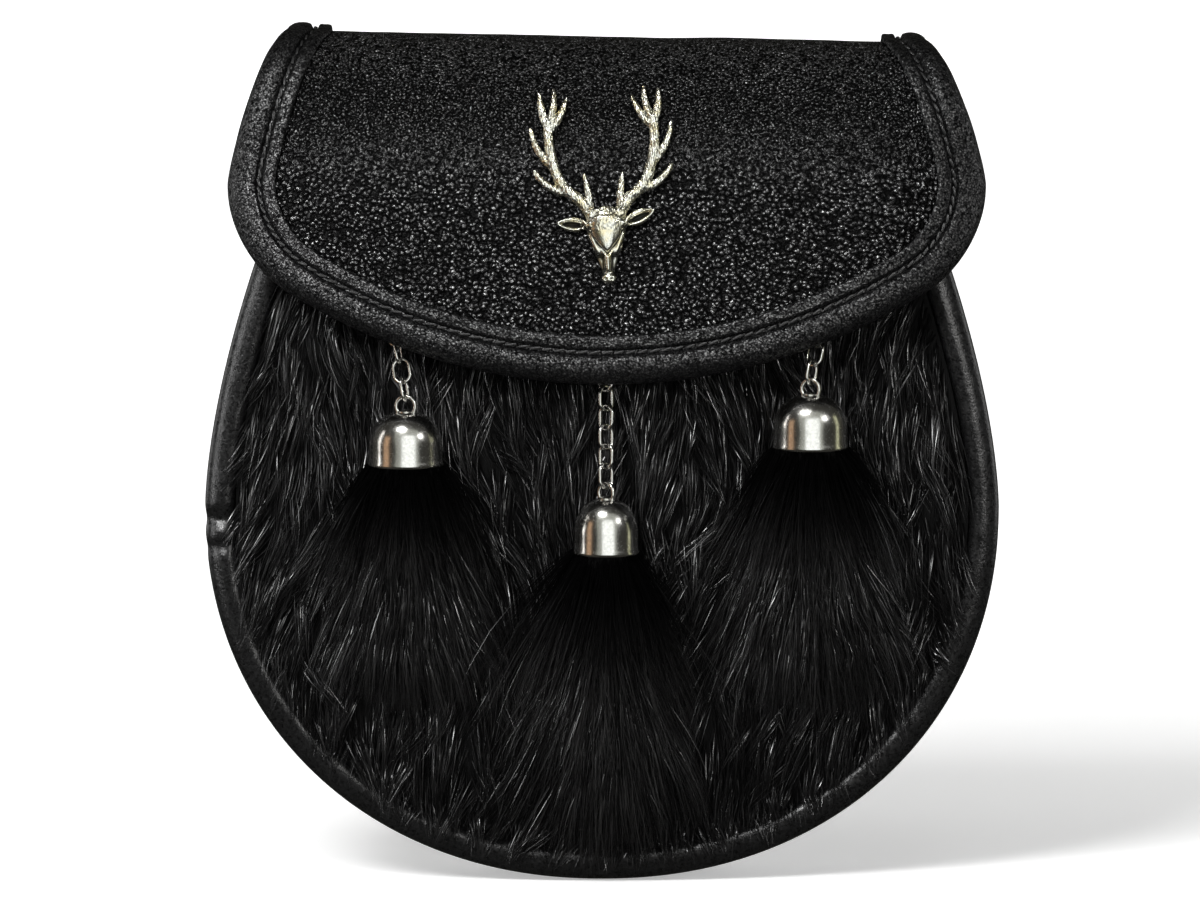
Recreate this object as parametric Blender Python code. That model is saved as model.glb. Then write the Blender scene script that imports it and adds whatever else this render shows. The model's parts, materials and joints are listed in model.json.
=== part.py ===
"""Sporran pouch: a round leather pouch with a fur front, a bound flap, a stag's head badge
and three fur tassels on chains.

The front faces -Y, +X is to the right as the front is seen and +Z is up. The origin is the
middle of the strap channel behind the back panel. Sizes are in metres.
"""
import math

import bmesh
import bpy
from mathutils import Vector

# Clearance between pieces that touch
GAP = 0.0003

# Pouch outline, seen from the front
BODY_WIDTH = 0.200
BODY_BOTTOM = -0.162
WIDEST_HEIGHT = -0.0675
BODY_TOP = 0.040
TOP_WIDTH = 0.138
TAPER_POWER = 1.6
ROUNDNESS = 2.12
LOWER_SHARE = 0.61
WALL_STATIONS = 36
DOME_CUTS = 5
TURN_STEP = 0.005

# Pouch walls and depth
STRAP_CHANNEL_DEPTH = 0.006
BACK_THICKNESS = 0.0025
BACK_LAP = 0.008
GUSSET_DEPTH = 0.0265
GUSSET_WALL = 0.002
GUSSET_SETBACK = 0.0012
GUSSET_PLEAT = 0.0015
FRONT_THICKNESS = 0.002
FRONT_DOME = 0.008
DOME_FALL = 0.4
FRONT_TOP = 0.030
FRONT_SETBACK = 0.0012

# Rounded edge round the fur
RIM_WIDTH = 0.0075
RIM_HEIGHT = 0.0035
RIM_STATIONS = 36
TUCK_PLACE = -0.60
TUCK_DEPTH = 0.0012
TUCK_LENGTH = 0.006

# Fur on its backing
FUR_BACKING = 0.0015
FUR_PILE = 0.0042
FUR_TOP = 0.026
LOCK_SPACING = 0.0195
LOCK_LENGTH = 0.032
LOCK_WIDTH = 0.0175
SWIRL_LEAN = 0.30
SWIRLS_ACROSS = 8.4
SWIRLS_DOWN = 6.2
FAN_LEAN = 0.18

# Flap
FLAP_THICKNESS = 0.002
FLAP_WIDTH = 0.187
FLAP_TOP_WIDTH = 0.1595
FLAP_TOP = 0.050
FLAP_WIDEST_HEIGHT = 0.017
FLAP_LOW = -0.033
FLAP_BACK_LOW = 0.024
FLAP_EDGE_RADIUS = 0.1464
FLAP_SHOULDER_POWER = 1.3
FLAP_CROWN = 0.0126
FLAP_SHIFT = 0.0012
FLAP_TILT = math.radians(1.0)
FLAP_STATIONS = 50
FLAP_LOW_CUTS = 4
CHAIN_ROOM = 0.0104
SECTION_STEPS = 10

# Strip folded round the flap's edge
BINDING_WIDTH = 0.0105
BINDING_THICKNESS = 0.0011
BINDING_GAP = 0.0006
BINDING_FOLD = 0.0022

# Stag's head badge
BADGE_HEIGHT = 0.0495
BADGE_LOW = -0.0098
BADGE_SIDE = 0.0006
BADGE_TURN = math.radians(3.1)
HEAD_RELIEF = 0.0042
ANTLER_RELIEF = 0.0020
EAR_RELIEF = 0.0018

# Chains
LINK_WIRE = 0.0009
LINK_LENGTH = 0.0070
LINK_WIDTH = 0.0051
WIRE_SIDES = 5
BEND_STEPS = 4
STAPLE_WIRE = 0.0012
STAPLE_WIDTH = 0.0066
STAPLE_PLATE = 0.0010

# Bells and tassels
BELL_WALL = 0.0008
BELL_LIP = 0.0004
BELL_SIDES = 14
EYE_DIAMETER = 0.0060
EYE_WIRE = 0.0010
EYE_RISE = 0.0012
EYE_STATIONS = 12
PLUG_LENGTH = 0.009
PLUG_SIDES = 12
REST_CLEARANCE = 0.0006
HAIR_LOCK_SHARE = 0.36

# Closing stud and strap loop
STUD_DIAMETER = 0.010
STUD_HEIGHT = -0.004
STUD_SIDES = 16
LOOP_WIDTH = 0.060
LOOP_HEIGHT = 0.042
LOOP_FOOT = 0.010
LOOP_THICKNESS = 0.0022

# Flap's section, seen from the side: depth as a share of the reach from back to front, and
# drop as a share of the fall from the crest to the edge on that side
BACK_SECTION = (
    # depth, drop
    (0.00, 1.00),
    (0.00, 0.60),
    (0.07, 0.24),
    (0.22, 0.03),
)
FRONT_SECTION = (
    # depth, drop
    (0.400, 0.000),
    (0.600, 0.042),
    (0.755, 0.135),
    (0.850, 0.280),
    (0.912, 0.470),
    (0.955, 0.680),
    (0.985, 0.860),
    (1.000, 1.000),
)

# Rim's section: inset as a share of its width, height as a share of its height
RIM_SECTION = (
    # inset, height
    (0.02, 0.00),
    (0.00, 0.42),
    (0.13, 0.76),
    (0.38, 0.97),
    (0.62, 1.00),
    (0.87, 0.80),
    (1.00, 0.46),
    (1.00, 0.00),
)

# Binding's section: inset as a share of its width, height in strip thicknesses over the flap
BINDING_FACE = (
    # inset, height
    (1.00, 0.00),
    (0.97, 1.05),
    (0.66, 1.15),
    (0.58, 0.72),
    (0.50, 1.20),
    (0.22, 1.38),
)

# Head of the stag: rise from the nose, half width and relief, as shares
HEAD_SECTIONS = (
    # rise, half width, relief
    (0.000, 0.018, 0.45),
    (0.035, 0.034, 0.72),
    (0.070, 0.036, 0.70),
    (0.125, 0.046, 0.76),
    (0.185, 0.068, 0.84),
    (0.250, 0.084, 0.94),
    (0.310, 0.088, 1.00),
    (0.360, 0.092, 0.92),
    (0.392, 0.060, 0.60),
)

# Antler of the stag, as shares of the badge's height: the main beam, then each tine
ANTLER_BEAM = (
    # side, rise, half width
    (0.080, 0.350, 0.024),
    (0.122, 0.426, 0.021),
    (0.195, 0.492, 0.019),
    (0.236, 0.569, 0.018),
    (0.262, 0.665, 0.017),
    (0.268, 0.756, 0.016),
    (0.262, 0.840, 0.017),
)
ANTLER_TINES = (
    # root side, root rise, bend side, bend rise, tip side, tip rise, half width
    (0.088, 0.370, 0.086, 0.450, 0.096, 0.560, 0.016),
    (0.190, 0.470, 0.279, 0.512, 0.345, 0.587, 0.016),
    (0.245, 0.610, 0.318, 0.700, 0.356, 0.800, 0.016),
    (0.262, 0.810, 0.292, 0.885, 0.298, 0.985, 0.015),
    (0.262, 0.810, 0.232, 0.890, 0.228, 1.000, 0.015),
    (0.262, 0.800, 0.200, 0.870, 0.162, 0.955, 0.015),
)
TINE_RING = (
    # offset, height
    (-1.00, 0.35),
    (-0.62, 0.85),
    (0.00, 1.00),
    (0.62, 0.85),
    (1.00, 0.35),
    (0.00, 0.00),
)
HEAD_RING = (
    # offset, height
    (-1.00, 0.12),
    (-0.94, 0.50),
    (-0.60, 0.82),
    (-0.20, 1.00),
    (0.20, 1.00),
    (0.60, 0.82),
    (0.94, 0.50),
    (1.00, 0.12),
    (0.50, 0.00),
    (-0.50, 0.00),
)
EAR_OUTLINE = (
    # side, rise
    (0.070, 0.300),
    (0.130, 0.282),
    (0.185, 0.290),
    (0.245, 0.338),
    (0.190, 0.356),
    (0.130, 0.340),
)

# One row for each tassel: side of the bell's axis, height of the bell's top, bell's diameter
# and height, hair's length and spread below it, links, sideways lean of the chain, angle of
# the lowest link
TASSELS = (
    # name, side, top, diameter, bell height, hair, spread, links, lean, link angle
    ("left", -0.0491, -0.0417, 0.0185, 0.0138, 0.064, 0.050, 5, -0.16, 72),
    ("centre", 0.0010, -0.0634, 0.0160, 0.0142, 0.079, 0.046, 7, 0.00, 45),
    ("right", 0.0521, -0.0374, 0.0185, 0.0138, 0.070, 0.056, 5, 0.17, 60),
)

# Hair locks of a tassel: sideways share of the spread, length share, depth share
TASSEL_LOCKS = (
    # side, length, depth
    (0.00, 0.97, 0.20),
    (-0.58, 0.92, 0.18),
    (0.56, 0.94, 0.18),
    (-1.00, 0.76, 0.30),
    (1.00, 0.79, 0.30),
    (-0.32, 1.00, 0.60),
    (0.34, 0.95, 0.60),
    (-0.76, 0.83, 0.66),
    (0.72, 0.86, 0.66),
    (-0.06, 0.83, 1.00),
)

# A lock of the fur panel from root to tip, as shares of its length, width, pile and rise
FUR_LOCK = (
    # along, width, thickness, lift
    (0.00, 0.70, 0.45, 0.05),
    (0.35, 1.00, 0.50, 0.55),
    (0.75, 0.62, 0.32, 0.72),
    (1.00, 0.00, 0.00, 0.80),
)

# A lock of a tassel from the plug to its tip: share of its length, of its way out to the side,
# of its width and thickness, and how far it has settled on the fur
HAIR_LOCK = (
    # along, out, width, thickness, settle
    (-0.03, 0.04, 0.50, 0.50, 0.00),
    (0.16, 0.30, 1.00, 0.65, 0.35),
    (0.60, 0.80, 1.00, 0.55, 0.90),
    (1.00, 1.00, 0.00, 0.00, 1.00),
)

# Values that follow from the ones above
BACK_OUTER = -STRAP_CHANNEL_DEPTH / 2
BACK_INNER = BACK_OUTER - BACK_THICKNESS
FRONT_INNER = BACK_INNER - GUSSET_DEPTH
FRONT_OUTER = FRONT_INNER - FRONT_THICKNESS
FUR_FACE = GAP + FUR_BACKING
PILE_FACE = FUR_FACE + FUR_PILE
FLAP_BACK_OUTER = BACK_OUTER + GAP + FLAP_THICKNESS
FLAP_FRONT_OUTER = FRONT_OUTER - FRONT_DOME - PILE_FACE - CHAIN_ROOM - FLAP_THICKNESS

MATERIALS = {
    # name: colour, roughness, metallic
    "black_leather": ((0.012, 0.012, 0.013, 1.0), 0.55, 0.0),
    "grained_leather": ((0.014, 0.014, 0.015, 1.0), 0.45, 0.0),
    "black_fur": ((0.006, 0.006, 0.007, 1.0), 0.60, 0.0),
    "chrome": ((0.80, 0.80, 0.82, 1.0), 0.12, 1.0),
    "antique_silver": ((0.62, 0.60, 0.55, 1.0), 0.30, 1.0),
}


def clear_scene():
    """Removes every object, so that the model is alone in the file."""
    for thing in list(bpy.data.objects):
        bpy.data.objects.remove(thing, do_unlink=True)


def material(name):
    """Returns the material of that name, made when it is first asked for."""
    found = bpy.data.materials.get(name)
    if found:
        return found
    colour, roughness, metallic = MATERIALS[name]
    made = bpy.data.materials.new(name)
    made.use_nodes = True
    shader = made.node_tree.nodes["Principled BSDF"]
    shader.inputs["Base Color"].default_value = colour
    shader.inputs["Roughness"].default_value = roughness
    shader.inputs["Metallic"].default_value = metallic
    return made


def face_outwards(bm):
    """Turns the faces of a closed body outwards."""
    bmesh.ops.recalc_face_normals(bm, faces=bm.faces)
    if bm.calc_volume(signed=True) < 0:
        bmesh.ops.reverse_faces(bm, faces=bm.faces)


def add_object(name, bm, finish, smooth_angle=40):
    """Puts a bmesh into the scene as a named object with its finish."""
    face_outwards(bm)
    mesh = bpy.data.meshes.new(name)
    bm.to_mesh(mesh)
    bm.free()
    mesh.materials.append(material(finish))
    mesh.shade_smooth()
    mesh.set_sharp_from_angle(angle=math.radians(smooth_angle))
    made = bpy.data.objects.new(name, mesh)
    bpy.context.scene.collection.objects.link(made)
    return made


def bend(bm, place):
    """Moves each point from a piece's flat layout to its place in space."""
    for vert in bm.verts:
        vert.co = place(*vert.co)


def fused(bodies):
    """Joins overlapping closed bodies into one by Boolean unions."""
    joined = scratch_object(bodies[0])
    for body in bodies[1:]:
        other = scratch_object(body)
        union = joined.modifiers.new("union", "BOOLEAN")
        union.operation = "UNION"
        union.object = other
        depsgraph = bpy.context.evaluated_depsgraph_get()
        result = bpy.data.meshes.new_from_object(joined.evaluated_get(depsgraph))
        joined.modifiers.clear()
        joined.data = result
        bpy.data.objects.remove(other, do_unlink=True)
    bm = bmesh.new()
    bm.from_mesh(joined.data)
    bpy.data.objects.remove(joined, do_unlink=True)
    bmesh.ops.remove_doubles(bm, verts=bm.verts, dist=GAP / 100)
    fill_voids(bm)
    bmesh.ops.triangulate(bm, faces=bm.faces)
    return bm


def fill_voids(bm):
    """Deletes the walls of pockets that are shut in between joined bodies."""
    shells = []
    left = set(bm.faces)
    while left:
        shell = {left.pop()}
        edge_of_shell = list(shell)
        while edge_of_shell:
            face = edge_of_shell.pop()
            near = {other for edge in face.edges for other in edge.link_faces} - shell
            shell |= near
            edge_of_shell.extend(near)
        left -= shell
        shells.append(shell)
    shells.sort(key=len)
    for shell in shells[:-1]:
        bmesh.ops.delete(bm, geom=list(shell), context="FACES")


def scratch_object(bm):
    """Makes a passing object of a bmesh, in flat triangles, for a Boolean to work on."""
    face_outwards(bm)
    bmesh.ops.triangulate(bm, faces=bm.faces)
    mesh = bpy.data.meshes.new("scratch")
    bm.to_mesh(mesh)
    bm.free()
    made = bpy.data.objects.new("scratch", mesh)
    bpy.context.scene.collection.objects.link(made)
    return made


def skin(bm, rings, closed=False):
    """Joins rings of points into a closed body, with its ends capped or joined."""
    loops = [[bm.verts.new(point) for point in ring] for ring in rings]
    count = len(loops[0])
    spans = len(loops) if closed else len(loops) - 1
    for index in range(spans):
        here = loops[index]
        there = loops[(index + 1) % len(loops)]
        for corner in range(count):
            following = (corner + 1) % count
            bm.faces.new((here[corner], here[following], there[following], there[corner]))
    if not closed:
        bm.faces.new(reversed(loops[0]))
        bm.faces.new(loops[-1])
    return loops


def close_sheet(bm, depth):
    """Gives a flat sheet at zero height a second face at the depth, and its edge walls."""
    front = list(bm.verts)
    faces = list(bm.faces)
    border = [edge.link_loops[0] for edge in bm.edges if edge.is_boundary]
    border = [(loop.vert, loop.link_loop_next.vert) for loop in border]
    back = {vert: bm.verts.new(vert.co + Vector((0, 0, depth))) for vert in front}
    for face in faces:
        bm.faces.new([back[vert] for vert in reversed(face.verts)])
    for start, end in border:
        bm.faces.new((end, start, back[start], back[end]))


def cut_sheet(outline, across, along):
    """Makes a flat sheet inside an outline, cut at the given places on each axis."""
    bm = bmesh.new()
    bm.faces.new([bm.verts.new((a, b, 0)) for a, b in outline])
    for axis, places in ((Vector((1, 0, 0)), across), (Vector((0, 1, 0)), along)):
        for place in places:
            geometry = bm.verts[:] + bm.edges[:] + bm.faces[:]
            bmesh.ops.bisect_plane(bm, geom=geometry, dist=GAP, plane_co=axis * place, plane_no=axis)
    return bm


def dome_sheet(outline):
    """Flat sheet inside an outline on the pouch's front, cut so that it can follow the dome."""
    across = spread(-BODY_WIDTH / 2, BODY_WIDTH / 2, DOME_CUTS)
    up = spread(BODY_BOTTOM, FRONT_TOP, DOME_CUTS)
    return cut_sheet(outline, across, up)


def spread(low, high, count):
    """Even places between two ends, the ends left out."""
    return [low + (high - low) * (index + 1) / (count + 1) for index in range(count)]


def tube_rings(path, across, radius, sides):
    """Rings of a round wire along a closed or open flat path, across being the path's normal."""
    rings = []
    for index, point in enumerate(path):
        before = path[index - 1] if index else None
        after = path[(index + 1) % len(path)]
        if before is None:
            before = path[-1]
        out = (after - before).cross(across).normalized()
        turns = [2 * math.pi * (side + 0.5) / sides for side in range(sides)]
        rings.append([point + radius * (out * math.cos(t) + across * math.sin(t)) for t in turns])
    return rings


def half_width(height):
    """Half the pouch's width at a height."""
    if height >= WIDEST_HEIGHT:
        share = (height - WIDEST_HEIGHT) / (BODY_TOP - WIDEST_HEIGHT)
        return BODY_WIDTH / 2 - (BODY_WIDTH - TOP_WIDTH) / 2 * share ** TAPER_POWER
    drop = (WIDEST_HEIGHT - height) / (WIDEST_HEIGHT - BODY_BOTTOM)
    return BODY_WIDTH / 2 * max(0.0, 1 - drop ** ROUNDNESS) ** (1 / ROUNDNESS)


def body_edge(turn, top):
    """Point of the pouch's outline: turn runs from -1 at the left top, by the bottom, to 1."""
    side = math.copysign(1, turn)
    turn = abs(turn)
    if turn >= LOWER_SHARE:
        share = (turn - LOWER_SHARE) / (1 - LOWER_SHARE)
        height = WIDEST_HEIGHT + (top - WIDEST_HEIGHT) * share
        return Vector((side * half_width(height), height))
    angle = math.pi / 2 * turn / LOWER_SHARE
    across = math.sin(angle) ** (2 / ROUNDNESS)
    down = math.cos(angle) ** (2 / ROUNDNESS)
    height = WIDEST_HEIGHT - (WIDEST_HEIGHT - BODY_BOTTOM) * down
    return Vector((side * BODY_WIDTH / 2 * across, height))


def body_inset(turn, inset, top):
    """Point of the pouch's outline moved inwards."""
    low = max(-1, turn - TURN_STEP)
    high = min(1, turn + TURN_STEP)
    along = (body_edge(high, top) - body_edge(low, top)).normalized()
    return body_edge(turn, top) + Vector((-along.y, along.x)) * inset


def dome(across, height):
    """How far the front panel stands forward of its edge."""
    if height < WIDEST_HEIGHT:
        drop = (WIDEST_HEIGHT - height) / (WIDEST_HEIGHT - BODY_BOTTOM)
        inside = 1 - abs(across / (BODY_WIDTH / 2)) ** ROUNDNESS - drop ** ROUNDNESS
    else:
        share = (height - WIDEST_HEIGHT) / (BODY_TOP - WIDEST_HEIGHT)
        inside = (1 - abs(across / half_width(height)) ** ROUNDNESS) * (1 - DOME_FALL * share ** 2)
    return FRONT_DOME * max(0.0, inside)


def front_place(across, height, proud):
    """Point that stands proud of the front panel's outer face."""
    return Vector((across, FRONT_OUTER - dome(across, height) - proud, height))


def smooth_step(value):
    """Eases a share from 0 to 1."""
    value = min(1.0, max(0.0, value))
    return value * value * (3 - 2 * value)


def flap_section():
    """Fine points of the flap's section with the length run to each, from back to front."""
    reach = FLAP_BACK_OUTER - FLAP_FRONT_OUTER
    marks = []
    for table, low in ((BACK_SECTION, FLAP_BACK_LOW), (FRONT_SECTION, FLAP_LOW)):
        for depth, drop in table:
            marks.append(Vector((FLAP_BACK_OUTER - reach * depth, FLAP_TOP - (FLAP_TOP - low) * drop)))
    marks = [2 * marks[0] - marks[1]] + marks + [2 * marks[-1] - marks[-2]]
    points = []
    for index in range(1, len(marks) - 2):
        before, start, end, after = marks[index - 1:index + 3]
        for step in range(SECTION_STEPS):
            t = step / SECTION_STEPS
            points.append(0.5 * (2 * start + (end - before) * t
                                 + (2 * before - 5 * start + 4 * end - after) * t ** 2
                                 + (3 * start - before - 3 * end + after) * t ** 3))
    points.append(marks[-2])
    runs = [0.0]
    for index in range(1, len(points)):
        runs.append(runs[-1] + (points[index] - points[index - 1]).length)
    return points, runs


SECTION_POINTS, SECTION_RUNS = flap_section()
FLAP_LENGTH = SECTION_RUNS[-1]


def run_at_height(height):
    """Length run along the flap's section to a height on its front."""
    for index in range(len(SECTION_POINTS) - 1, 0, -1):
        low = SECTION_POINTS[index].y
        high = SECTION_POINTS[index - 1].y
        if low <= height < high:
            share = (height - low) / (high - low)
            return SECTION_RUNS[index] + (SECTION_RUNS[index - 1] - SECTION_RUNS[index]) * share
    return FLAP_LENGTH - (height - FLAP_LOW)


CREST_RUN = SECTION_RUNS[SECTION_STEPS * len(BACK_SECTION)]
WIDEST_RUN = run_at_height(FLAP_WIDEST_HEIGHT)


def section_at(run):
    """Depth, height and outward normal of the flap's section at a run."""
    index = 1
    while index < len(SECTION_RUNS) - 1 and SECTION_RUNS[index] < run:
        index += 1
    start = SECTION_POINTS[index - 1]
    end = SECTION_POINTS[index]
    share = (run - SECTION_RUNS[index - 1]) / (SECTION_RUNS[index] - SECTION_RUNS[index - 1])
    before = SECTION_POINTS[max(0, index - 2)]
    after = SECTION_POINTS[min(len(SECTION_POINTS) - 1, index + 1)]
    along = (end - before).normalized() * (1 - share) + (after - start).normalized() * share
    along.normalize()
    return start + (end - start) * share, Vector((along.y, -along.x))


def flap_place(across, run, proud):
    """Point that stands proud of the flap's outer face, from its flat layout."""
    point, normal = section_at(run)
    forward = smooth_step((run - CREST_RUN) / (WIDEST_RUN - CREST_RUN))
    sink = FLAP_CROWN * forward * (abs(across) / (FLAP_WIDTH / 2)) ** 4
    place = point + normal * (proud - sink)
    lean = math.tan(FLAP_TILT) * across * (1 - forward)
    return Vector((across + FLAP_SHIFT, place.x, place.y - lean))


def flap_edge(turn):
    """Point of the flap's flat outline: turn runs from -1 at the left back, by the low edge, to 1
    at the right back."""
    side = math.copysign(1, turn)
    turn = abs(turn)
    half = FLAP_WIDTH / 2
    fall = FLAP_LENGTH - WIDEST_RUN
    big = FLAP_EDGE_RADIUS
    # Radius of the corner that touches both the upright side and the low edge's arc
    small = (big ** 2 - half ** 2 - (big - fall) ** 2) / (2 * (big - half))
    lean = math.atan2(half - small, big - fall)
    arc = big * lean
    corner = small * (math.pi / 2 - lean)
    distance = turn * (arc + corner + WIDEST_RUN)
    if distance < arc:
        angle = distance / big
        return Vector((side * big * math.sin(angle), FLAP_LENGTH - big + big * math.cos(angle)))
    if distance < arc + corner:
        angle = lean + (distance - arc) / small
        return Vector((side * (half - small + small * math.sin(angle)), WIDEST_RUN + small * math.cos(angle)))
    run = WIDEST_RUN - (distance - arc - corner)
    share = min(1.0, (WIDEST_RUN - run) / (WIDEST_RUN - CREST_RUN))
    narrow = (FLAP_WIDTH - FLAP_TOP_WIDTH) / 2 * share ** FLAP_SHOULDER_POWER
    return Vector((side * (half - narrow), run))


def flap_inset(turn, inset):
    """Point of the flap's flat outline moved inwards."""
    low = max(-1, turn - TURN_STEP)
    high = min(1, turn + TURN_STEP)
    along = (flap_edge(high) - flap_edge(low)).normalized()
    return flap_edge(turn) + Vector((along.y, -along.x)) * inset


def flap_edge_height(across):
    """Height of the flap's low edge at a place across it."""
    return FLAP_LOW + FLAP_EDGE_RADIUS - math.sqrt(FLAP_EDGE_RADIUS ** 2 - across ** 2)


def turns(count):
    """Even turns from -1 to 1."""
    return [-1 + 2 * index / count for index in range(count + 1)]


def build_back_panel():
    """Flat back of the pouch."""
    outline = [body_inset(turn, 0, FLAP_BACK_LOW + BACK_LAP) for turn in turns(WALL_STATIONS)]
    bm = bmesh.new()
    bm.faces.new([bm.verts.new((point.x, point.y, 0)) for point in outline])
    close_sheet(bm, BACK_THICKNESS)
    bend(bm, lambda across, height, proud: Vector((across, BACK_OUTER - proud, height)))
    add_object("back_panel", bm, "black_leather")


def build_gusset():
    """Side wall of the pouch, with a shallow pleat along its middle."""
    back = BACK_INNER - GAP
    front = FRONT_INNER + GAP
    stations = ((0.0, 0.0), (0.5, 1.0), (1.0, 0.0))
    outer = []
    for share, pleat in stations:
        outer.append((back + (front - back) * share, GUSSET_SETBACK + GUSSET_PLEAT * pleat))
    inner = [(depth, inset + GUSSET_WALL) for depth, inset in reversed(outer)]
    rings = []
    for turn in turns(WALL_STATIONS):
        ring = []
        for depth, inset in outer + inner:
            point = body_inset(turn, inset, FRONT_TOP)
            ring.append(Vector((point.x, depth, point.y)))
        rings.append(ring)
    bm = bmesh.new()
    skin(bm, rings)
    add_object("gusset", bm, "black_leather")


def build_front_panel():
    """Domed leather front that the fur is sewn on."""
    outline = [body_inset(turn, FRONT_SETBACK, FRONT_TOP) for turn in turns(WALL_STATIONS)]
    bm = dome_sheet(outline)
    close_sheet(bm, -FRONT_THICKNESS)
    bend(bm, front_place)
    add_object("front_panel", bm, "black_leather")


def rim_turns():
    """Turns of the rim's sections, closer together at its tuck."""
    span = TUCK_LENGTH / BODY_WIDTH
    close = [TUCK_PLACE + span * share for share in (-0.6, -0.3, 0.0, 0.3, 0.6)]
    even = [turn for turn in turns(RIM_STATIONS) if abs(turn - TUCK_PLACE) > span]
    return sorted(even + close)


def build_front_rim():
    """Rounded leather edge that frames the fur, pinched at one place on the left."""
    rings = []
    for turn in rim_turns():
        pinch = TUCK_DEPTH * math.exp(-((turn - TUCK_PLACE) * BODY_WIDTH / TUCK_LENGTH * 2.5) ** 2)
        ring = []
        for inset, height in RIM_SECTION:
            point = body_inset(turn, inset * RIM_WIDTH, FRONT_TOP)
            ring.append(front_place(point.x, point.y, GAP + (RIM_HEIGHT - pinch) * height))
        rings.append(ring)
    bm = bmesh.new()
    skin(bm, rings)
    add_object("front_rim", bm, "black_leather")


def leaf(bm, stations):
    """Adds a lock of hair: rings of four points that end in a tip. Each station has its middle
    as across, height and proud, with its half width and half thickness."""
    rings = []
    for index, (middle, wide, thick) in enumerate(stations[:-1]):
        onward = stations[index + 1][0] - middle
        side = Vector((onward.y, -onward.x, 0)).normalized()
        up = Vector((0, 0, 1))
        rings.append([bm.verts.new(middle + offset) for offset in
                      (side * wide, up * thick, side * -wide, up * -thick)])
    tip = bm.verts.new(stations[-1][0])
    for here, there in zip(rings, rings[1:]):
        for corner in range(4):
            following = (corner + 1) % 4
            bm.faces.new((here[corner], here[following], there[following], there[corner]))
    for corner in range(4):
        bm.faces.new((rings[-1][corner], rings[-1][(corner + 1) % 4], tip))
    bm.faces.new(reversed(rings[0]))


def fur_lie(across, height):
    """Sideways lean of the fur at a place, as it parts and swirls down the front."""
    side = across / BODY_WIDTH
    rise = height / BODY_WIDTH
    return SWIRL_LEAN * math.sin(side * SWIRLS_ACROSS + 0.8) * math.cos(rise * SWIRLS_DOWN) + FAN_LEAN * side


def inside_share(across, height):
    """1 at the pouch's middle, 0 at its outline."""
    reach = WIDEST_HEIGHT - BODY_BOTTOM if height < WIDEST_HEIGHT else BODY_TOP - WIDEST_HEIGHT
    width = half_width(max(height, WIDEST_HEIGHT))
    return 1 - math.hypot(across / width, min(0.0, height - WIDEST_HEIGHT) / reach)


def build_fur_panel():
    """Fur on its backing: rows of locks that overlap downwards, fused to the sheet."""
    outline = [body_inset(turn, RIM_WIDTH + GAP, FUR_TOP) for turn in turns(WALL_STATIONS)]
    sheet = dome_sheet(outline)
    bmesh.ops.translate(sheet, verts=sheet.verts, vec=(0, 0, GAP))
    close_sheet(sheet, FUR_BACKING)
    bend(sheet, front_place)
    bodies = [sheet]
    row = 0
    height = FLAP_LOW + FLAP_EDGE_RADIUS / 4
    while height > BODY_BOTTOM + RIM_WIDTH + LOCK_LENGTH / 2:
        bm = bmesh.new()
        count = int(BODY_WIDTH / LOCK_SPACING) + 1
        for index in range(-count, count + 1):
            across = (index + 0.5 * (row % 2)) * LOCK_SPACING
            wave = 0.10 * LOCK_SPACING * math.sin(index * 2.3 + row * 1.7)
            add_lock(bm, across, height + wave)
        if bm.verts:
            bend(bm, front_place)
            bodies.append(bm)
        height -= LOCK_SPACING * 0.9
        row += 1
    add_object("fur_panel", fused(bodies), "black_fur")


def add_lock(bm, across, height):
    """Adds one lock of the fur panel where it has room inside the rim and under the flap."""
    lie = fur_lie(across, height)
    down = Vector((lie, -1)).normalized()
    root = Vector((across, height))
    tip = root + down * LOCK_LENGTH
    margin = (RIM_WIDTH + LOCK_WIDTH / 4) / (BODY_WIDTH / 2)
    if min(inside_share(*root), inside_share(*tip)) < margin:
        return
    if abs(across) > FLAP_WIDTH * 0.48 or height > flap_edge_height(across) + LOCK_SPACING / 3:
        return
    base = GAP + FUR_BACKING * 0.55
    rise = PILE_FACE - base
    stations = []
    for along, wide, thick, lift in FUR_LOCK:
        middle = root + down * LOCK_LENGTH * along
        thickness = thick * FUR_PILE / 2
        stations.append((Vector((middle.x, middle.y, base + (rise - thickness) * lift)),
                         LOCK_WIDTH / 2 * wide, thickness))
    leaf(bm, stations)


def flap_across():
    """Places across the flap where its sheet is cut, closer together near its sides."""
    half = FLAP_WIDTH / 2
    shares = (0.0, 0.35, 0.60, 0.78, 0.91)
    return sorted({side * half * share for share in shares for side in (-1, 1)})


def build_flap():
    """Grained leather flap, from the back over the crest and down the front."""
    outline = [flap_edge(turn) for turn in turns(FLAP_STATIONS)]
    along = [point.y for point in outline if point.x > 0 and 0 < point.y < WIDEST_RUN]
    along += spread(WIDEST_RUN, FLAP_LENGTH, FLAP_LOW_CUTS)
    bm = cut_sheet(outline, flap_across(), along)
    close_sheet(bm, -FLAP_THICKNESS)
    bend(bm, flap_place)
    add_object("flap", bm, "grained_leather")


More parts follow.
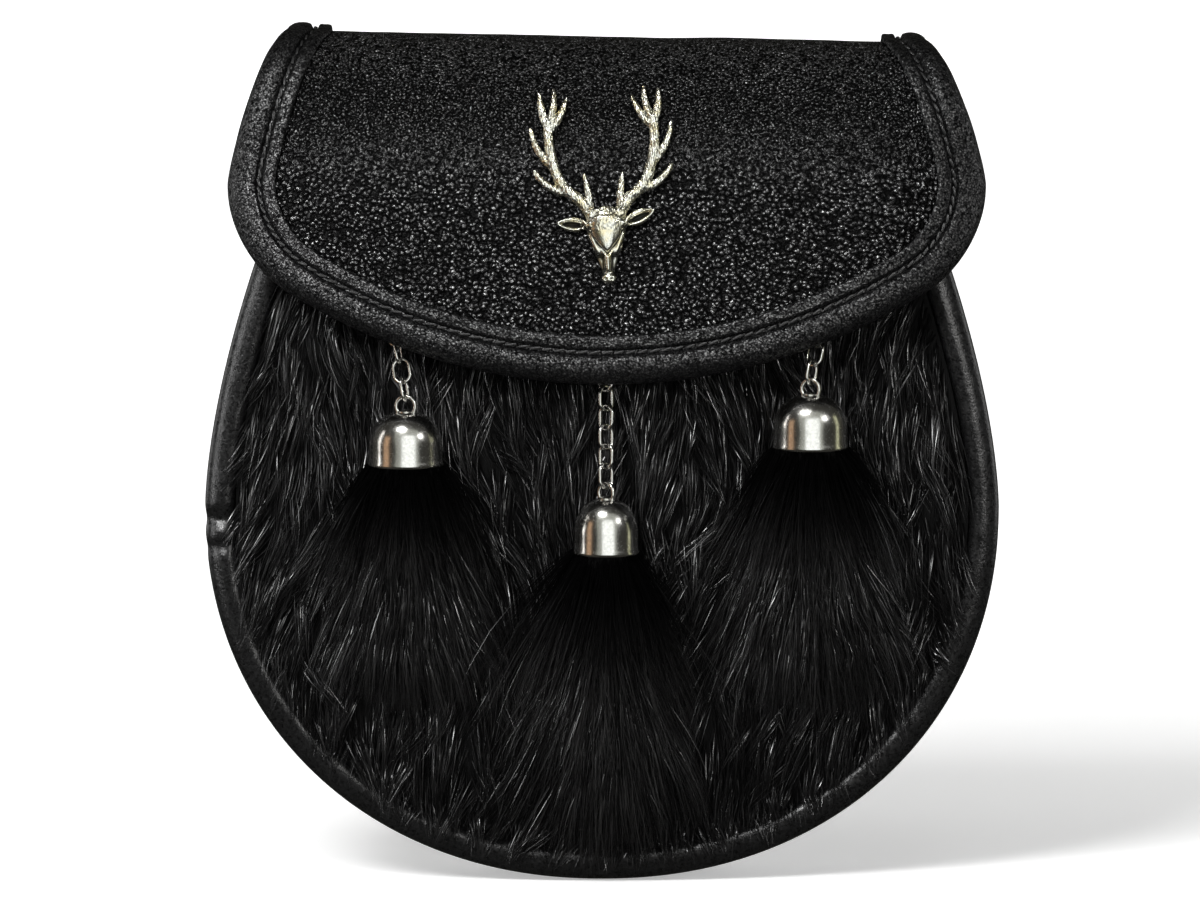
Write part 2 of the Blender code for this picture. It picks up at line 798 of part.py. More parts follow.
def build_flap_binding():
    """Smooth strip folded round the flap's edge, with a groove that holds the stitches."""
    thick = BINDING_THICKNESS
    under = -FLAP_THICKNESS - BINDING_GAP
    section = [(BINDING_WIDTH * inset, BINDING_GAP + thick * height) for inset, height in BINDING_FACE]
    section += [
        (-BINDING_GAP - thick, 0.0),
        (-BINDING_GAP - thick, under),
        (BINDING_FOLD, under - thick),
        (BINDING_FOLD, under),
        (-BINDING_GAP, under),
        (-BINDING_GAP, BINDING_GAP),
    ]
    rings = []
    for turn in turns(FLAP_STATIONS):
        ring = []
        for inset, height in section:
            point = flap_inset(turn, inset)
            ring.append(flap_place(point.x, point.y, height))
        rings.append(ring)
    bm = bmesh.new()
    skin(bm, rings)
    add_object("flap_binding", bm, "black_leather", 50)


def badge_point(side, rise, proud):
    """Point of the badge from its shares of the badge's height, laid on the flat flap."""
    across = side * BADGE_HEIGHT
    up = rise * BADGE_HEIGHT
    turned = Vector((across * math.cos(BADGE_TURN) - up * math.sin(BADGE_TURN),
                     across * math.sin(BADGE_TURN) + up * math.cos(BADGE_TURN)))
    run = run_at_height(BADGE_LOW) - turned.y
    return Vector((turned.x + BADGE_SIDE, run, GAP + proud))


def tine(points, relief, tip_share, mirror):
    """Tapered horn with a ridge along its front and its back, through the given points."""
    rings = []
    for index, (side, rise, half) in enumerate(points):
        before = Vector(points[max(0, index - 1)][:2])
        after = Vector(points[min(len(points) - 1, index + 1)][:2])
        along = (after - before).normalized()
        out = Vector((along.y, -along.x))
        narrow = 1.0 if index < len(points) - 1 else tip_share
        tall = relief * (0.55 + 0.45 * half / points[0][2])
        tall *= 1.0 if index < len(points) - 1 else 0.7
        ring = []
        for offset, height in TINE_RING:
            place = Vector((side, rise)) + out * half * narrow * offset
            ring.append(badge_point(place.x * mirror, place.y, height * tall))
        rings.append(ring)
    bm = bmesh.new()
    skin(bm, rings)
    return bm


def stag_head():
    """Head from the nose to the forehead, rounded in front and flat behind."""
    rings = []
    for rise, half, relief in HEAD_SECTIONS:
        ring = []
        for offset, height in HEAD_RING:
            ring.append(badge_point(half * offset, rise, HEAD_RELIEF * relief * height))
        rings.append(ring)
    bm = bmesh.new()
    skin(bm, rings)
    return bm


def stag_ear(mirror):
    """Leaf-shaped ear with a hollow face."""
    bm = bmesh.new()
    floor = EAR_RELIEF / 4
    low = [bm.verts.new(badge_point(side * mirror, rise, floor)) for side, rise in EAR_OUTLINE]
    bm.faces.new(reversed(low))
    top = [bm.verts.new(vert.co + Vector((0, 0, EAR_RELIEF - floor))) for vert in low]
    for corner, vert in enumerate(low):
        following = (corner + 1) % len(low)
        bm.faces.new((vert, low[following], top[following], top[corner]))
    lid = bm.faces.new(top)
    bm.normal_update()
    bmesh.ops.inset_region(bm, faces=[lid], thickness=BADGE_HEIGHT * 0.012, depth=0)
    bmesh.ops.translate(bm, verts=lid.verts, vec=(0, 0, -EAR_RELIEF * 0.4))
    return bm


def build_stag_badge():
    """Cast stag's head with antlers, one body that follows the flap's curve."""
    bodies = [stag_head()]
    for mirror in (-1, 1):
        bodies.append(stag_ear(mirror))
        bodies.append(tine(ANTLER_BEAM, ANTLER_RELIEF * 1.15, 0.7, mirror))
        for *places, half in ANTLER_TINES:
            root = (*places[0:2], half)
            bend_point = (*places[2:4], half * 0.85)
            tip = (*places[4:6], half * 0.6)
            bodies.append(tine((root, bend_point, tip), ANTLER_RELIEF, 0.45, mirror))
    bm = fused(bodies)
    bend(bm, flap_place)
    add_object("stag_badge", bm, "antique_silver", 35)


def rest_depth(side, height):
    """Depth of the face that the bells and tassels rest on."""
    return front_place(side, height, PILE_FACE + REST_CLEARANCE).y


def bell_axis(row):
    """Middle of a bell's mouth: it rests on the fur."""
    name, side, top, diameter, tall, *rest = row
    return Vector((side, rest_depth(side, top - tall / 2) - diameter / 2 - BELL_LIP, top - tall))


def bell_profile(radius, tall):
    """Radius and height of the bell's wall, from the crown down outside and up inside."""
    inner = radius - BELL_WALL
    return (
        (radius * 0.42, tall * 0.98),
        (radius * 0.76, tall * 0.85),
        (radius * 0.95, tall * 0.62),
        (radius, tall * 0.33),
        (radius, tall * 0.06),
        (radius + BELL_LIP, 0.0),
        (inner, 0.0),
        (inner, tall * 0.36),
        (radius * 0.66, tall * 0.82 - BELL_WALL),
    )


def turned(centre, profile, sides):
    """Closed body turned from a profile of radius and height that starts and ends on the axis."""
    bm = bmesh.new()
    rings = []
    for radius, height in profile:
        angles = [2 * math.pi * side / sides for side in range(sides)]
        rings.append([centre + Vector((radius * math.cos(a), radius * math.sin(a), height)) for a in angles])
    skin(bm, rings)
    return bm


def build_bell(row):
    """Hollow bell cap with its eye fused to the crown."""
    name, side, top, diameter, tall, *rest = row
    centre = bell_axis(row)
    cap = turned(centre, bell_profile(diameter / 2, tall), BELL_SIDES)
    link_angle = math.radians(row[-1] + 90)
    flat = Vector((math.cos(link_angle), math.sin(link_angle), 0))
    middle = centre + Vector((0, 0, tall + EYE_RISE))
    radius = (EYE_DIAMETER - EYE_WIRE) / 2
    angles = [2 * math.pi * index / EYE_STATIONS for index in range(EYE_STATIONS)]
    up = Vector((0, 0, 1))
    path = [middle + radius * (flat * math.cos(a) + up * math.sin(a)) for a in angles]
    eye = bmesh.new()
    skin(eye, tube_rings(path, flat.cross(up), EYE_WIRE / 2, WIRE_SIDES), closed=True)
    add_object("bell_" + name, fused([cap, eye]), "chrome")


def chain_line(row):
    """Lowest and highest wire middles of a tassel's chain, and its direction."""
    name, side, top, diameter, tall, hair, spread_width, count, lean, angle = row
    start = bell_axis(row) + Vector((0, 0, tall + EYE_RISE + (EYE_DIAMETER - EYE_WIRE) / 2))
    pitch = LINK_LENGTH - 2 * LINK_WIRE - GAP
    length = count * pitch + LINK_WIRE + GAP + (STAPLE_WIRE - EYE_WIRE) / 2
    proud = FUR_FACE + GAP + STAPLE_PLATE + LINK_WIDTH / 2 + LINK_WIRE * 2
    forward = (front_place(side, start.z + length, proud).y - start.y) / length
    direction = Vector((lean, forward, 1)).normalized()
    return start, direction


def link_rings(centre, direction, angle):
    """Rings of one oval link about its centre, turned about the chain's line."""
    face = Vector((math.cos(angle), math.sin(angle), 0))
    wide = (face - direction * face.dot(direction)).normalized()
    across = wide.cross(direction)
    end = (LINK_WIDTH - LINK_WIRE) / 2
    straight = (LINK_LENGTH - LINK_WIRE) / 2 - end
    path = []
    for sign in (1, -1):
        for step in range(BEND_STEPS + 1):
            turn = math.pi * step / BEND_STEPS
            path.append(centre + wide * end * math.cos(turn) * sign
                        + direction * sign * (straight + end * math.sin(turn)))
    return tube_rings(path, across, LINK_WIRE / 2, WIRE_SIDES)


def build_chain(row):
    """Oval links from the bell's eye up to the staple, and the staple that holds them."""
    name = row[0]
    count = row[7]
    start, direction = chain_line(row)
    reach = LINK_LENGTH - LINK_WIRE
    pitch = reach - LINK_WIRE - GAP
    centre = start + direction * (reach / 2 - (EYE_WIRE + LINK_WIRE) / 2 - GAP)
    for index in range(count):
        angle = math.radians(row[-1] + 90 * (index % 2))
        bm = bmesh.new()
        skin(bm, link_rings(centre, direction, angle), closed=True)
        add_object(f"link_{name}_{index + 1}", bm, "chrome")
        centre = centre + direction * pitch
    top = centre - direction * pitch
    bar = top + direction * (reach / 2 - (LINK_WIRE + STAPLE_WIRE) / 2 - GAP)
    build_staple(name, bar)


def build_staple(name, bar):
    """Wire staple on a small plate that lies on the fur's backing."""
    face = front_place(bar.x, bar.z, FUR_FACE + GAP).y
    half = (STAPLE_WIDTH - STAPLE_WIRE) / 2
    reach = face - bar.y
    corner = STAPLE_WIRE
    plate_middle = Vector((bar.x, face - STAPLE_PLATE / 2, bar.z))
    leg = [(half, STAPLE_WIRE), (half, 0), (half, corner - reach), (half - corner, -reach)]
    path = [Vector((-side, depth, 0)) for side, depth in leg]
    path += [Vector((side, depth, 0)) for side, depth in reversed(leg)]
    path = [plate_middle + point for point in path]
    for point in path:
        point.y = max(point.y, bar.y)
    rings = tube_rings(path, Vector((0, 0, 1)), STAPLE_WIRE / 2, WIRE_SIDES + 1)[1:-1]
    wire = bmesh.new()
    skin(wire, rings)
    plate = bmesh.new()
    bmesh.ops.create_cube(plate, size=1)
    size = (STAPLE_WIDTH + STAPLE_WIRE * 2, STAPLE_PLATE, STAPLE_WIRE * 3)
    bmesh.ops.scale(plate, vec=size, verts=plate.verts)
    bmesh.ops.translate(plate, vec=plate_middle, verts=plate.verts)
    add_object("chain_staple_" + name, fused([plate, wire]), "chrome")


def build_tassel(row):
    """Tassel: a plug inside the bell with locks of hair that flare down over the fur."""
    name, side, top, diameter, tall, hair, spread_width, *rest = row
    centre = bell_axis(row)
    plug_radius = diameter / 2 - BELL_WALL - GAP
    low = -tall * 0.10
    profile = (
        (plug_radius * 0.93, low + PLUG_LENGTH * 0.8),
        (plug_radius, low + PLUG_LENGTH * 0.5),
        (plug_radius, low),
        (plug_radius * 0.6, low * 2.5),
    )
    bodies = [turned(centre, profile, PLUG_SIDES)]
    mouth = FRONT_OUTER - dome(side, centre.z) - centre.y
    for sideways, long, deep in TASSEL_LOCKS:
        bm = bmesh.new()
        out = spread_width / 2 * sideways
        leaf(bm, tassel_stations(centre, mouth, diameter, hair * long, out, deep))
        bend(bm, front_place)
        bodies.append(bm)
    add_object("tassel_" + name, fused(bodies), "black_fur")


def tassel_stations(centre, mouth, diameter, length, sideways, deep):
    """Stations of one tassel lock, from inside the plug, out of the mouth and down the fur."""
    lock = diameter * HAIR_LOCK_SHARE
    rest = PILE_FACE + REST_CLEARANCE
    stations = []
    for along, out, wide, thick, settle in HAIR_LOCK:
        half_thick = lock * 0.55 * thick
        free = mouth + (deep - 0.5) * diameter * 0.32
        down = rest + half_thick + deep * diameter * 0.42
        proud = max(free + (down - free) * settle, rest + half_thick)
        middle = Vector((centre.x + sideways * out, centre.z - length * along, proud))
        stations.append((middle, lock * wide, half_thick))
    return stations


def build_closure_stud():
    """Hidden stud between the fur's backing and the flap."""
    base = front_place(0, STUD_HEIGHT, FUR_FACE + GAP)
    run = run_at_height(STUD_HEIGHT)
    flap_inner = flap_place(-FLAP_SHIFT, run, -FLAP_THICKNESS - GAP * 2)
    length = base.y - flap_inner.y
    radius = STUD_DIAMETER / 2
    slack = radius * abs(section_at(run)[1].y)
    neck = radius * 0.45
    cap = radius * 0.8
    profile = (
        (radius, 0),
        (radius, length * 0.25),
        (neck, length * 0.32),
        (neck, length * 0.62),
        (cap, length * 0.70),
        (cap, length - slack),
    )
    bm = turned(Vector((0, 0, 0)), profile, STUD_SIDES)
    bend(bm, lambda across, up, out: Vector((across, base.y - out, base.z + up)))
    add_object("closure_stud", bm, "chrome")


def build_strap_loop():
    """Leather loop on the back: a strip with two flat feet and a raised middle."""
    half = LOOP_HEIGHT / 2
    foot = half - LOOP_FOOT
    near = BACK_OUTER + GAP
    far = STRAP_CHANNEL_DEPTH / 2
    ramp = STRAP_CHANNEL_DEPTH * 0.6
    easing = LOOP_THICKNESS * 0.3
    upper = [(half, near), (foot, near), (foot - ramp, far)]
    upper_outer = [
        (foot - ramp + easing, far + LOOP_THICKNESS),
        (foot + easing, near + LOOP_THICKNESS),
        (half, near + LOOP_THICKNESS),
    ]
    lower = [(-height, depth) for height, depth in reversed(upper)]
    lower_outer = [(-height, depth) for height, depth in reversed(upper_outer)]
    section = upper + lower + lower_outer + upper_outer
    rings = []
    for across in (-LOOP_WIDTH / 2, LOOP_WIDTH / 2):
        rings.append([Vector((across, depth, height)) for height, depth in section])
    bm = bmesh.new()
    skin(bm, rings)
    add_object("strap_loop", bm, "black_leather")


def main():
    """Builds the whole pouch."""
    clear_scene()
    build_back_panel()
    build_gusset()
    build_front_panel()
    build_front_rim()
    build_fur_panel()
    build_flap()
    build_flap_binding()
    build_stag_badge()
    build_closure_stud()
    build_strap_loop()
    for row in TASSELS:
        build_bell(row)
        build_chain(row)
        build_tassel(row)


main()
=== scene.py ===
"""Scene of a sporran pouch: black leather body, fur front, bound flap, cast stag's head,
bells and fur tassels on chains. Laid out as an add-on and run as a script."""
import json
import math
from collections import namedtuple

import bmesh
import bpy
import numpy as np
from bpy.props import FloatProperty, FloatVectorProperty, IntProperty, PointerProperty
from mathutils import Matrix, Vector, noise

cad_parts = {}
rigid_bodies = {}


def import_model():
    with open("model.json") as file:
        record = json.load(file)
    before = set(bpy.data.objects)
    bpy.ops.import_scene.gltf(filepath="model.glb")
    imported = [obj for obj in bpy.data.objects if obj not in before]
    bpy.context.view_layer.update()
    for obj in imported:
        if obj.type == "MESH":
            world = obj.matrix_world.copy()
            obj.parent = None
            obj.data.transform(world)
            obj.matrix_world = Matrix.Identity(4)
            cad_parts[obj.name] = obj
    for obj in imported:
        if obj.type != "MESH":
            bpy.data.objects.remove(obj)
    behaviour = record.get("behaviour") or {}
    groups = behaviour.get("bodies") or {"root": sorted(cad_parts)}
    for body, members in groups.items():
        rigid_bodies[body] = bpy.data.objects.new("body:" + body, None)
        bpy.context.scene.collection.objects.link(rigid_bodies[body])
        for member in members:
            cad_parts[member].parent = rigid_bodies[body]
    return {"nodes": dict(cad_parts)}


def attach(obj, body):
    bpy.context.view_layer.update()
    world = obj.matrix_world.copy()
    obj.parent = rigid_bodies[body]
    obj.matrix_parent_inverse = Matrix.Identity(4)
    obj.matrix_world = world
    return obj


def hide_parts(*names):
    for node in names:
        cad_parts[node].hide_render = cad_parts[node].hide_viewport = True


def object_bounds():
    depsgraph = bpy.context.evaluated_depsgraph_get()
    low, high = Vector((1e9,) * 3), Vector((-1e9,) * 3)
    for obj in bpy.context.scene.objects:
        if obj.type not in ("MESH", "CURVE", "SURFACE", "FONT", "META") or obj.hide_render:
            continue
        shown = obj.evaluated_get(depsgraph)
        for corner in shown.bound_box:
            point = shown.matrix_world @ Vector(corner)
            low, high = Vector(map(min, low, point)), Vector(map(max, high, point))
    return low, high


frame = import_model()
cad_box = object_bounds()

bl_info = {
    "name": "Sporran pouch",
    "version": (1, 0, 0),
    "blender": (4, 5, 0),
    "location": "3D View > Sidebar > Sporran",
    "description": "Makes the leather, fur and metal pieces of a sporran pouch round its frame",
    "category": "Add Mesh",
}

# Sizes of the frame, in metres
GAP = 0.0003
BODY_WIDTH = 0.200
BODY_BOTTOM = -0.162
WIDEST_HEIGHT = -0.0675
BODY_TOP = 0.040
TOP_WIDTH = 0.138
TAPER_POWER = 1.6
ROUNDNESS = 2.12
LOWER_SHARE = 0.61
TURN_STEP = 0.005
BACK_OUTER = -0.003
BACK_THICKNESS = 0.0025
BACK_INNER = BACK_OUTER - BACK_THICKNESS
GUSSET_DEPTH = 0.0265
GUSSET_WALL = 0.002
GUSSET_SETBACK = 0.0012
GUSSET_PLEAT = 0.0015
FRONT_INNER = BACK_INNER - GUSSET_DEPTH
FRONT_THICKNESS = 0.002
FRONT_OUTER = FRONT_INNER - FRONT_THICKNESS
FRONT_DOME = 0.008
DOME_FALL = 0.4
FRONT_TOP = 0.030
FRONT_SETBACK = 0.0012
RIM_WIDTH = 0.0075
RIM_HEIGHT = 0.0035
TUCK_PLACE = -0.60
TUCK_DEPTH = 0.0012
TUCK_LENGTH = 0.006
FUR_BACKING = 0.0015
FUR_PILE = 0.0042
FUR_TOP = 0.026
FUR_FACE = GAP + FUR_BACKING
PILE_FACE = FUR_FACE + FUR_PILE
REST_CLEARANCE = 0.0006
FLAP_THICKNESS = 0.002
FLAP_WIDTH = 0.187
FLAP_TOP_WIDTH = 0.1595
FLAP_TOP = 0.050
FLAP_WIDEST_HEIGHT = 0.017
FLAP_LOW = -0.033
FLAP_BACK_LOW = 0.024
FLAP_EDGE_RADIUS = 0.1464
FLAP_SHOULDER_POWER = 1.3
FLAP_CROWN = 0.0126
FLAP_SHIFT = 0.0012
FLAP_TILT = math.radians(1.0)
CHAIN_ROOM = 0.0104
SECTION_STEPS = 10
FLAP_BACK_OUTER = BACK_OUTER + GAP + FLAP_THICKNESS
FLAP_FRONT_OUTER = FRONT_OUTER - FRONT_DOME - PILE_FACE - CHAIN_ROOM - FLAP_THICKNESS
BINDING_WIDTH = 0.0105
BINDING_THICKNESS = 0.0011
BINDING_GAP = 0.0006
BINDING_FOLD = 0.0022
BADGE_HEIGHT = 0.0495
BADGE_LOW = -0.0098
BADGE_SIDE = 0.0006
BADGE_TURN = math.radians(3.1)
BADGE_RELIEF = 0.0044
LINK_WIRE = 0.0009
LINK_LENGTH = 0.0070
LINK_WIDTH = 0.0051
STAPLE_WIRE = 0.0012
STAPLE_PLATE = 0.0010
BELL_WALL = 0.0008
BELL_LIP = 0.0004
EYE_DIAMETER = 0.0060
EYE_WIRE = 0.0010
EYE_RISE = 0.0012
LOOP_WIDTH = 0.060
LOOP_HEIGHT = 0.042
LOOP_FOOT = 0.010
LOOP_THICKNESS = 0.0022
STRAP_CHANNEL_DEPTH = 0.006
BACK_STITCHES = 170
BACK_STITCH_INSET = 0.0036
LOOP_STITCHES = 15
LOOP_STITCH_PITCH = 0.0037
TUFT_SPACING = 0.0052
FUR_UNDER_FLAP = 0.016
FLOOR_GAP = 0.0004
PANEL_MIDDLE = Vector((0, WIDEST_HEIGHT + 0.01))

BACK_SECTION = ((0.00, 1.00), (0.00, 0.60), (0.07, 0.24), (0.22, 0.03))
FRONT_SECTION = (
    (0.400, 0.000), (0.600, 0.042), (0.755, 0.135), (0.850, 0.280),
    (0.912, 0.470), (0.955, 0.680), (0.985, 0.860), (1.000, 1.000),
)

Tassel = namedtuple("Tassel", "name side top diameter tall hair spread links lean angle")

# One row for each tassel: name, side, bell's top, bell's diameter and height, hair's length and
# spread, number of links, sideways lean of the chain, and the lowest link's angle in degrees
TASSELS = (
    Tassel("left", -0.0491, -0.0417, 0.0185, 0.0138, 0.064, 0.050, 5, -0.16, 72),
    Tassel("centre", 0.0010, -0.0634, 0.0160, 0.0142, 0.079, 0.046, 7, 0.00, 45),
    Tassel("right", 0.0521, -0.0374, 0.0185, 0.0138, 0.070, 0.056, 5, 0.17, 60),
)

# Binding's section: inset as a share of its width, height in strip thicknesses over the flap
BINDING_FACE = (
    (1.000, 0.05), (0.990, 0.70), (0.960, 0.98), (0.900, 1.08), (0.820, 1.02), (0.740, 1.12),
    (0.700, 1.00), (0.670, 0.45), (0.640, -0.15), (0.560, -0.15), (0.525, 0.45), (0.490, 1.10),
    (0.400, 1.42), (0.300, 1.52), (0.200, 1.48), (0.110, 1.30), (0.040, 0.98), (-0.030, 0.52),
)

# Rim's section: inset as a share of its width, height as a share of its height
RIM_SECTION = (
    (0.02, 0.00), (0.00, 0.20), (0.01, 0.42), (0.05, 0.60), (0.13, 0.76), (0.24, 0.89),
    (0.38, 0.98), (0.50, 1.01), (0.62, 1.00), (0.74, 0.93), (0.84, 0.82), (0.93, 0.64),
    (0.98, 0.44), (1.00, 0.22), (1.00, 0.00),
)

# Antlers as shares of the badge's height: side, rise, and radius as a share of the root's
ANTLER_BEAM = (
    (0.066, 0.335, 1.15), (0.092, 0.385, 1.05), (0.130, 0.432, 1.0), (0.182, 0.474, 1.0),
    (0.222, 0.530, 0.95), (0.246, 0.600, 0.92), (0.262, 0.680, 0.88), (0.268, 0.760, 0.84),
    (0.264, 0.835, 0.80),
)
ANTLER_TINES = (
    ((0.080, 0.360, 0.85), (0.078, 0.420, 0.72), (0.086, 0.490, 0.55), (0.098, 0.560, 0.26)),
    ((0.180, 0.472, 0.85), (0.235, 0.482, 0.75), (0.290, 0.515, 0.62), (0.332, 0.560, 0.48),
     (0.348, 0.592, 0.26)),
    ((0.244, 0.600, 0.85), (0.288, 0.640, 0.75), (0.325, 0.695, 0.62), (0.346, 0.755, 0.46),
     (0.356, 0.805, 0.25)),
    ((0.262, 0.805, 0.82), (0.285, 0.850, 0.74), (0.298, 0.915, 0.58), (0.300, 0.985, 0.28)),
    ((0.262, 0.810, 0.82), (0.244, 0.860, 0.72), (0.230, 0.925, 0.56), (0.227, 1.000, 0.28)),
    ((0.260, 0.790, 0.80), (0.222, 0.828, 0.70), (0.190, 0.880, 0.56), (0.164, 0.952, 0.26)),
)

# Rise of an ear from its root to its tip: left, right
EAR_RISE = (0.020, 0.062)

# Head as shares of the badge's height: rise from the nose, half width, relief
HEAD_SECTIONS = (
    (0.000, 0.018, 0.34), (0.012, 0.028, 0.50), (0.032, 0.032, 0.58), (0.056, 0.030, 0.55),
    (0.082, 0.036, 0.58), (0.120, 0.050, 0.64), (0.150, 0.062, 0.70), (0.178, 0.074, 0.76),
    (0.225, 0.090, 0.86), (0.271, 0.103, 0.94), (0.310, 0.102, 1.00), (0.340, 0.088, 0.96),
    (0.365, 0.066, 0.84), (0.388, 0.040, 0.62),
)

# Collar under a bell's eye: radius and height, in metres
COLLAR_PROFILE = ((0.0004, 0), (0.0019, 0.0), (0.0020, 0.0004), (0.0012, 0.0008), (0.0004, 0.0009))

# Smooth leathers: depth of the wrinkles in metres, and contrast of the shine
SMOOTH_LEATHERS = {
    "smooth_leather_finish": (0.00015, 1.0),
    "body_leather_finish": (0.00005, 0.25),
    "back_leather_finish": (0.00014, 0.65),
}

# One row for each light: name, azimuth and elevation in degrees, distance, width and height,
# watts, colour, and the pieces that it lights. Azimuth 0 is in front, and grows to the right.
LIGHTS = (
    ("key", -26, 34, 1.5, (0.50, 0.50), 27, (1.0, 1.0, 1.0), "other_pieces"),
    ("window", 28, 12, 1.6, (0.26, 0.50), 8, (1.0, 0.99, 0.97), "leather_and_fur"),
    ("top", 4, 66, 1.3, (0.80, 0.30), 2, (1.0, 1.0, 1.0), "other_pieces"),
    ("side", -62, 8, 1.3, (0.14, 0.80), 5, (1.0, 1.0, 1.0), "leather_and_fur"),
    ("fill_right", 104, 10, 1.5, (0.60, 0.90), 4, (1.0, 1.0, 1.0), "leather_and_fur"),
    ("fill_left", -112, 10, 1.5, (0.60, 0.90), 4, (1.0, 1.0, 1.0), "leather_and_fur"),
    ("fill_back", 172, 34, 1.6, (0.80, 0.60), 14, (1.0, 1.0, 1.0), "rear_pieces"),
    ("metal_window", 8, 8, 1.2, (0.95, 1.25), 4.4, (0.97, 1.0, 1.0), "metal_pieces"),
    ("metal_room", 4, 22, 1.25, (1.90, 2.00), 4.6, (0.92, 0.95, 0.84), "metal_pieces"),
    ("metal_glint", -22, 56, 1.2, (0.42, 0.22), 5.0, (1.0, 1.0, 0.97), "metal_pieces"),
    ("metal_spark", 52, 30, 1.2, (0.10, 0.10), 2.0, (1.0, 1.0, 0.97), "metal_pieces"),
    ("metal_left", -88, 14, 1.2, (0.10, 0.80), 1.0, (1.0, 0.97, 0.92), "metal_pieces"),
    ("metal_warm", -62, 2, 1.2, (0.36, 1.00), 0.65, (1.0, 0.62, 0.36), "metal_pieces"),
    ("metal_olive", 92, 4, 1.2, (0.24, 1.00), 0.55, (0.92, 0.92, 0.60), "metal_pieces"),
)
LIT_MIDDLE = Vector((0.0, -0.03, -0.055))
CAMERA_TARGET = Vector((-0.0005, -0.034, -0.0534))
ROOM_COLOUR = (0.30, 0.29, 0.25)
ROOM_STRENGTH = 0.12


# Sizes and colours that a user would change


class SporranLeather(bpy.types.PropertyGroup):
    """Leather of the body, the flap and the binding."""
    smooth_colour: FloatVectorProperty(
        name="Smooth leather", description="Colour of the body, the rim and the binding",
        subtype="COLOR", default=(0.0050, 0.0050, 0.0052))
    grain_colour: FloatVectorProperty(
        name="Grained leather", description="Colour of the flap",
        subtype="COLOR", default=(0.0050, 0.0050, 0.0052))
    grain_size: FloatProperty(
        name="Grain size", description="Width of one pebble of the flap's grain",
        default=0.00114, unit="LENGTH")
    stitch_pitch: FloatProperty(
        name="Stitch pitch", description="Distance from one stitch to the next",
        default=0.0031, unit="LENGTH")
    thread: FloatProperty(
        name="Thread", description="Thickness of the sewing thread", default=0.00075, unit="LENGTH")


class SporranFur(bpy.types.PropertyGroup):
    """Fur of the front and of the tassels."""
    colour: FloatVectorProperty(
        name="Fur", description="Colour of the hair", subtype="COLOR", default=(0.0030, 0.0029, 0.0030))
    hair_width: FloatProperty(
        name="Hair width", description="Width of one hair at its middle", default=0.00020, unit="LENGTH")
    hair_length: FloatProperty(
        name="Hair length", description="Length of the front's hair", default=0.0185, unit="LENGTH")
    front_hairs: IntProperty(
        name="Front hairs", description="Hairs on each half of the front", default=18000)
    tassel_hairs: IntProperty(
        name="Tassel hairs", description="Hairs on each tassel", default=12500)


class SporranMetal(bpy.types.PropertyGroup):
    """Plated bells and chains, and the cast badge."""
    chrome_colour: FloatVectorProperty(
        name="Plating", description="Colour of the bells and chains",
        subtype="COLOR", default=(0.72, 0.71, 0.69))
    silver_colour: FloatVectorProperty(
        name="Cast silver", description="Colour of the badge on its raised parts",
        subtype="COLOR", default=(0.82, 0.82, 0.76))
    antler_radius: FloatProperty(
        name="Antler radius", description="Radius of the antlers at their root",
        default=0.00145, unit="LENGTH")


class SporranStage(bpy.types.PropertyGroup):
    """Camera and floor."""
    distance: FloatProperty(
        name="Camera distance", description="From the camera to the pouch", default=3.0, unit="LENGTH")
    elevation: FloatProperty(
        name="Camera elevation", description="Camera's angle above the pouch",
        default=math.radians(5), unit="ROTATION")
    frame_width: FloatProperty(
        name="Frame width", description="Width of the picture at the pouch", default=0.3023, unit="LENGTH")
    floor_glow: FloatProperty(
        name="Floor glow", description="Light of the floor's own close to the pouch", default=0.36)
    floor_colour: FloatVectorProperty(
        name="Floor", description="Colour of the floor", subtype="COLOR",
        default=(0.86, 0.86, 0.86))


# Form of the pouch


def half_width(height):
    """Half the pouch's width at a height."""
    if height >= WIDEST_HEIGHT:
        share = (height - WIDEST_HEIGHT) / (BODY_TOP - WIDEST_HEIGHT)
        return BODY_WIDTH / 2 - (BODY_WIDTH - TOP_WIDTH) / 2 * share ** TAPER_POWER
    drop = (WIDEST_HEIGHT - height) / (WIDEST_HEIGHT - BODY_BOTTOM)
    return BODY_WIDTH / 2 * max(0.0, 1 - drop ** ROUNDNESS) ** (1 / ROUNDNESS)


def body_edge(turn, top):
    """Point of the pouch's outline: turn runs from -1 at the left top, by the bottom, to 1."""
    side = math.copysign(1, turn)
    turn = abs(turn)
    if turn >= LOWER_SHARE:
        share = (turn - LOWER_SHARE) / (1 - LOWER_SHARE)
        height = WIDEST_HEIGHT + (top - WIDEST_HEIGHT) * share
        return Vector((side * half_width(height), height))
    angle = math.pi / 2 * turn / LOWER_SHARE
    across = math.sin(angle) ** (2 / ROUNDNESS)
    down = math.cos(angle) ** (2 / ROUNDNESS)
    return Vector((side * BODY_WIDTH / 2 * across, WIDEST_HEIGHT - (WIDEST_HEIGHT - BODY_BOTTOM) * down))


def body_inset(turn, inset, top):
    """Point of the pouch's outline moved inwards."""
    low = max(-1, turn - TURN_STEP)
    high = min(1, turn + TURN_STEP)
    along = (body_edge(high, top) - body_edge(low, top)).normalized()
    return body_edge(turn, top) + Vector((-along.y, along.x)) * inset


def panel_outline(share, inset, top):
    """Point of a panel's closed outline: round the curved side, then back along the top."""
    curved = 0.84
    if share <= curved:
        return body_inset(-1 + 2 * share / curved, inset, top)
    right = body_inset(1, inset, top)
    left = body_inset(-1, inset, top)
    return right.lerp(left, (share - curved) / (1 - curved))


def panel_point(u, v, inset, top):
    """Point of a panel laid flat, from its outline at a v of 0 to its middle at 1."""
    return PANEL_MIDDLE.lerp(panel_outline(u, inset, top), 1 - v)


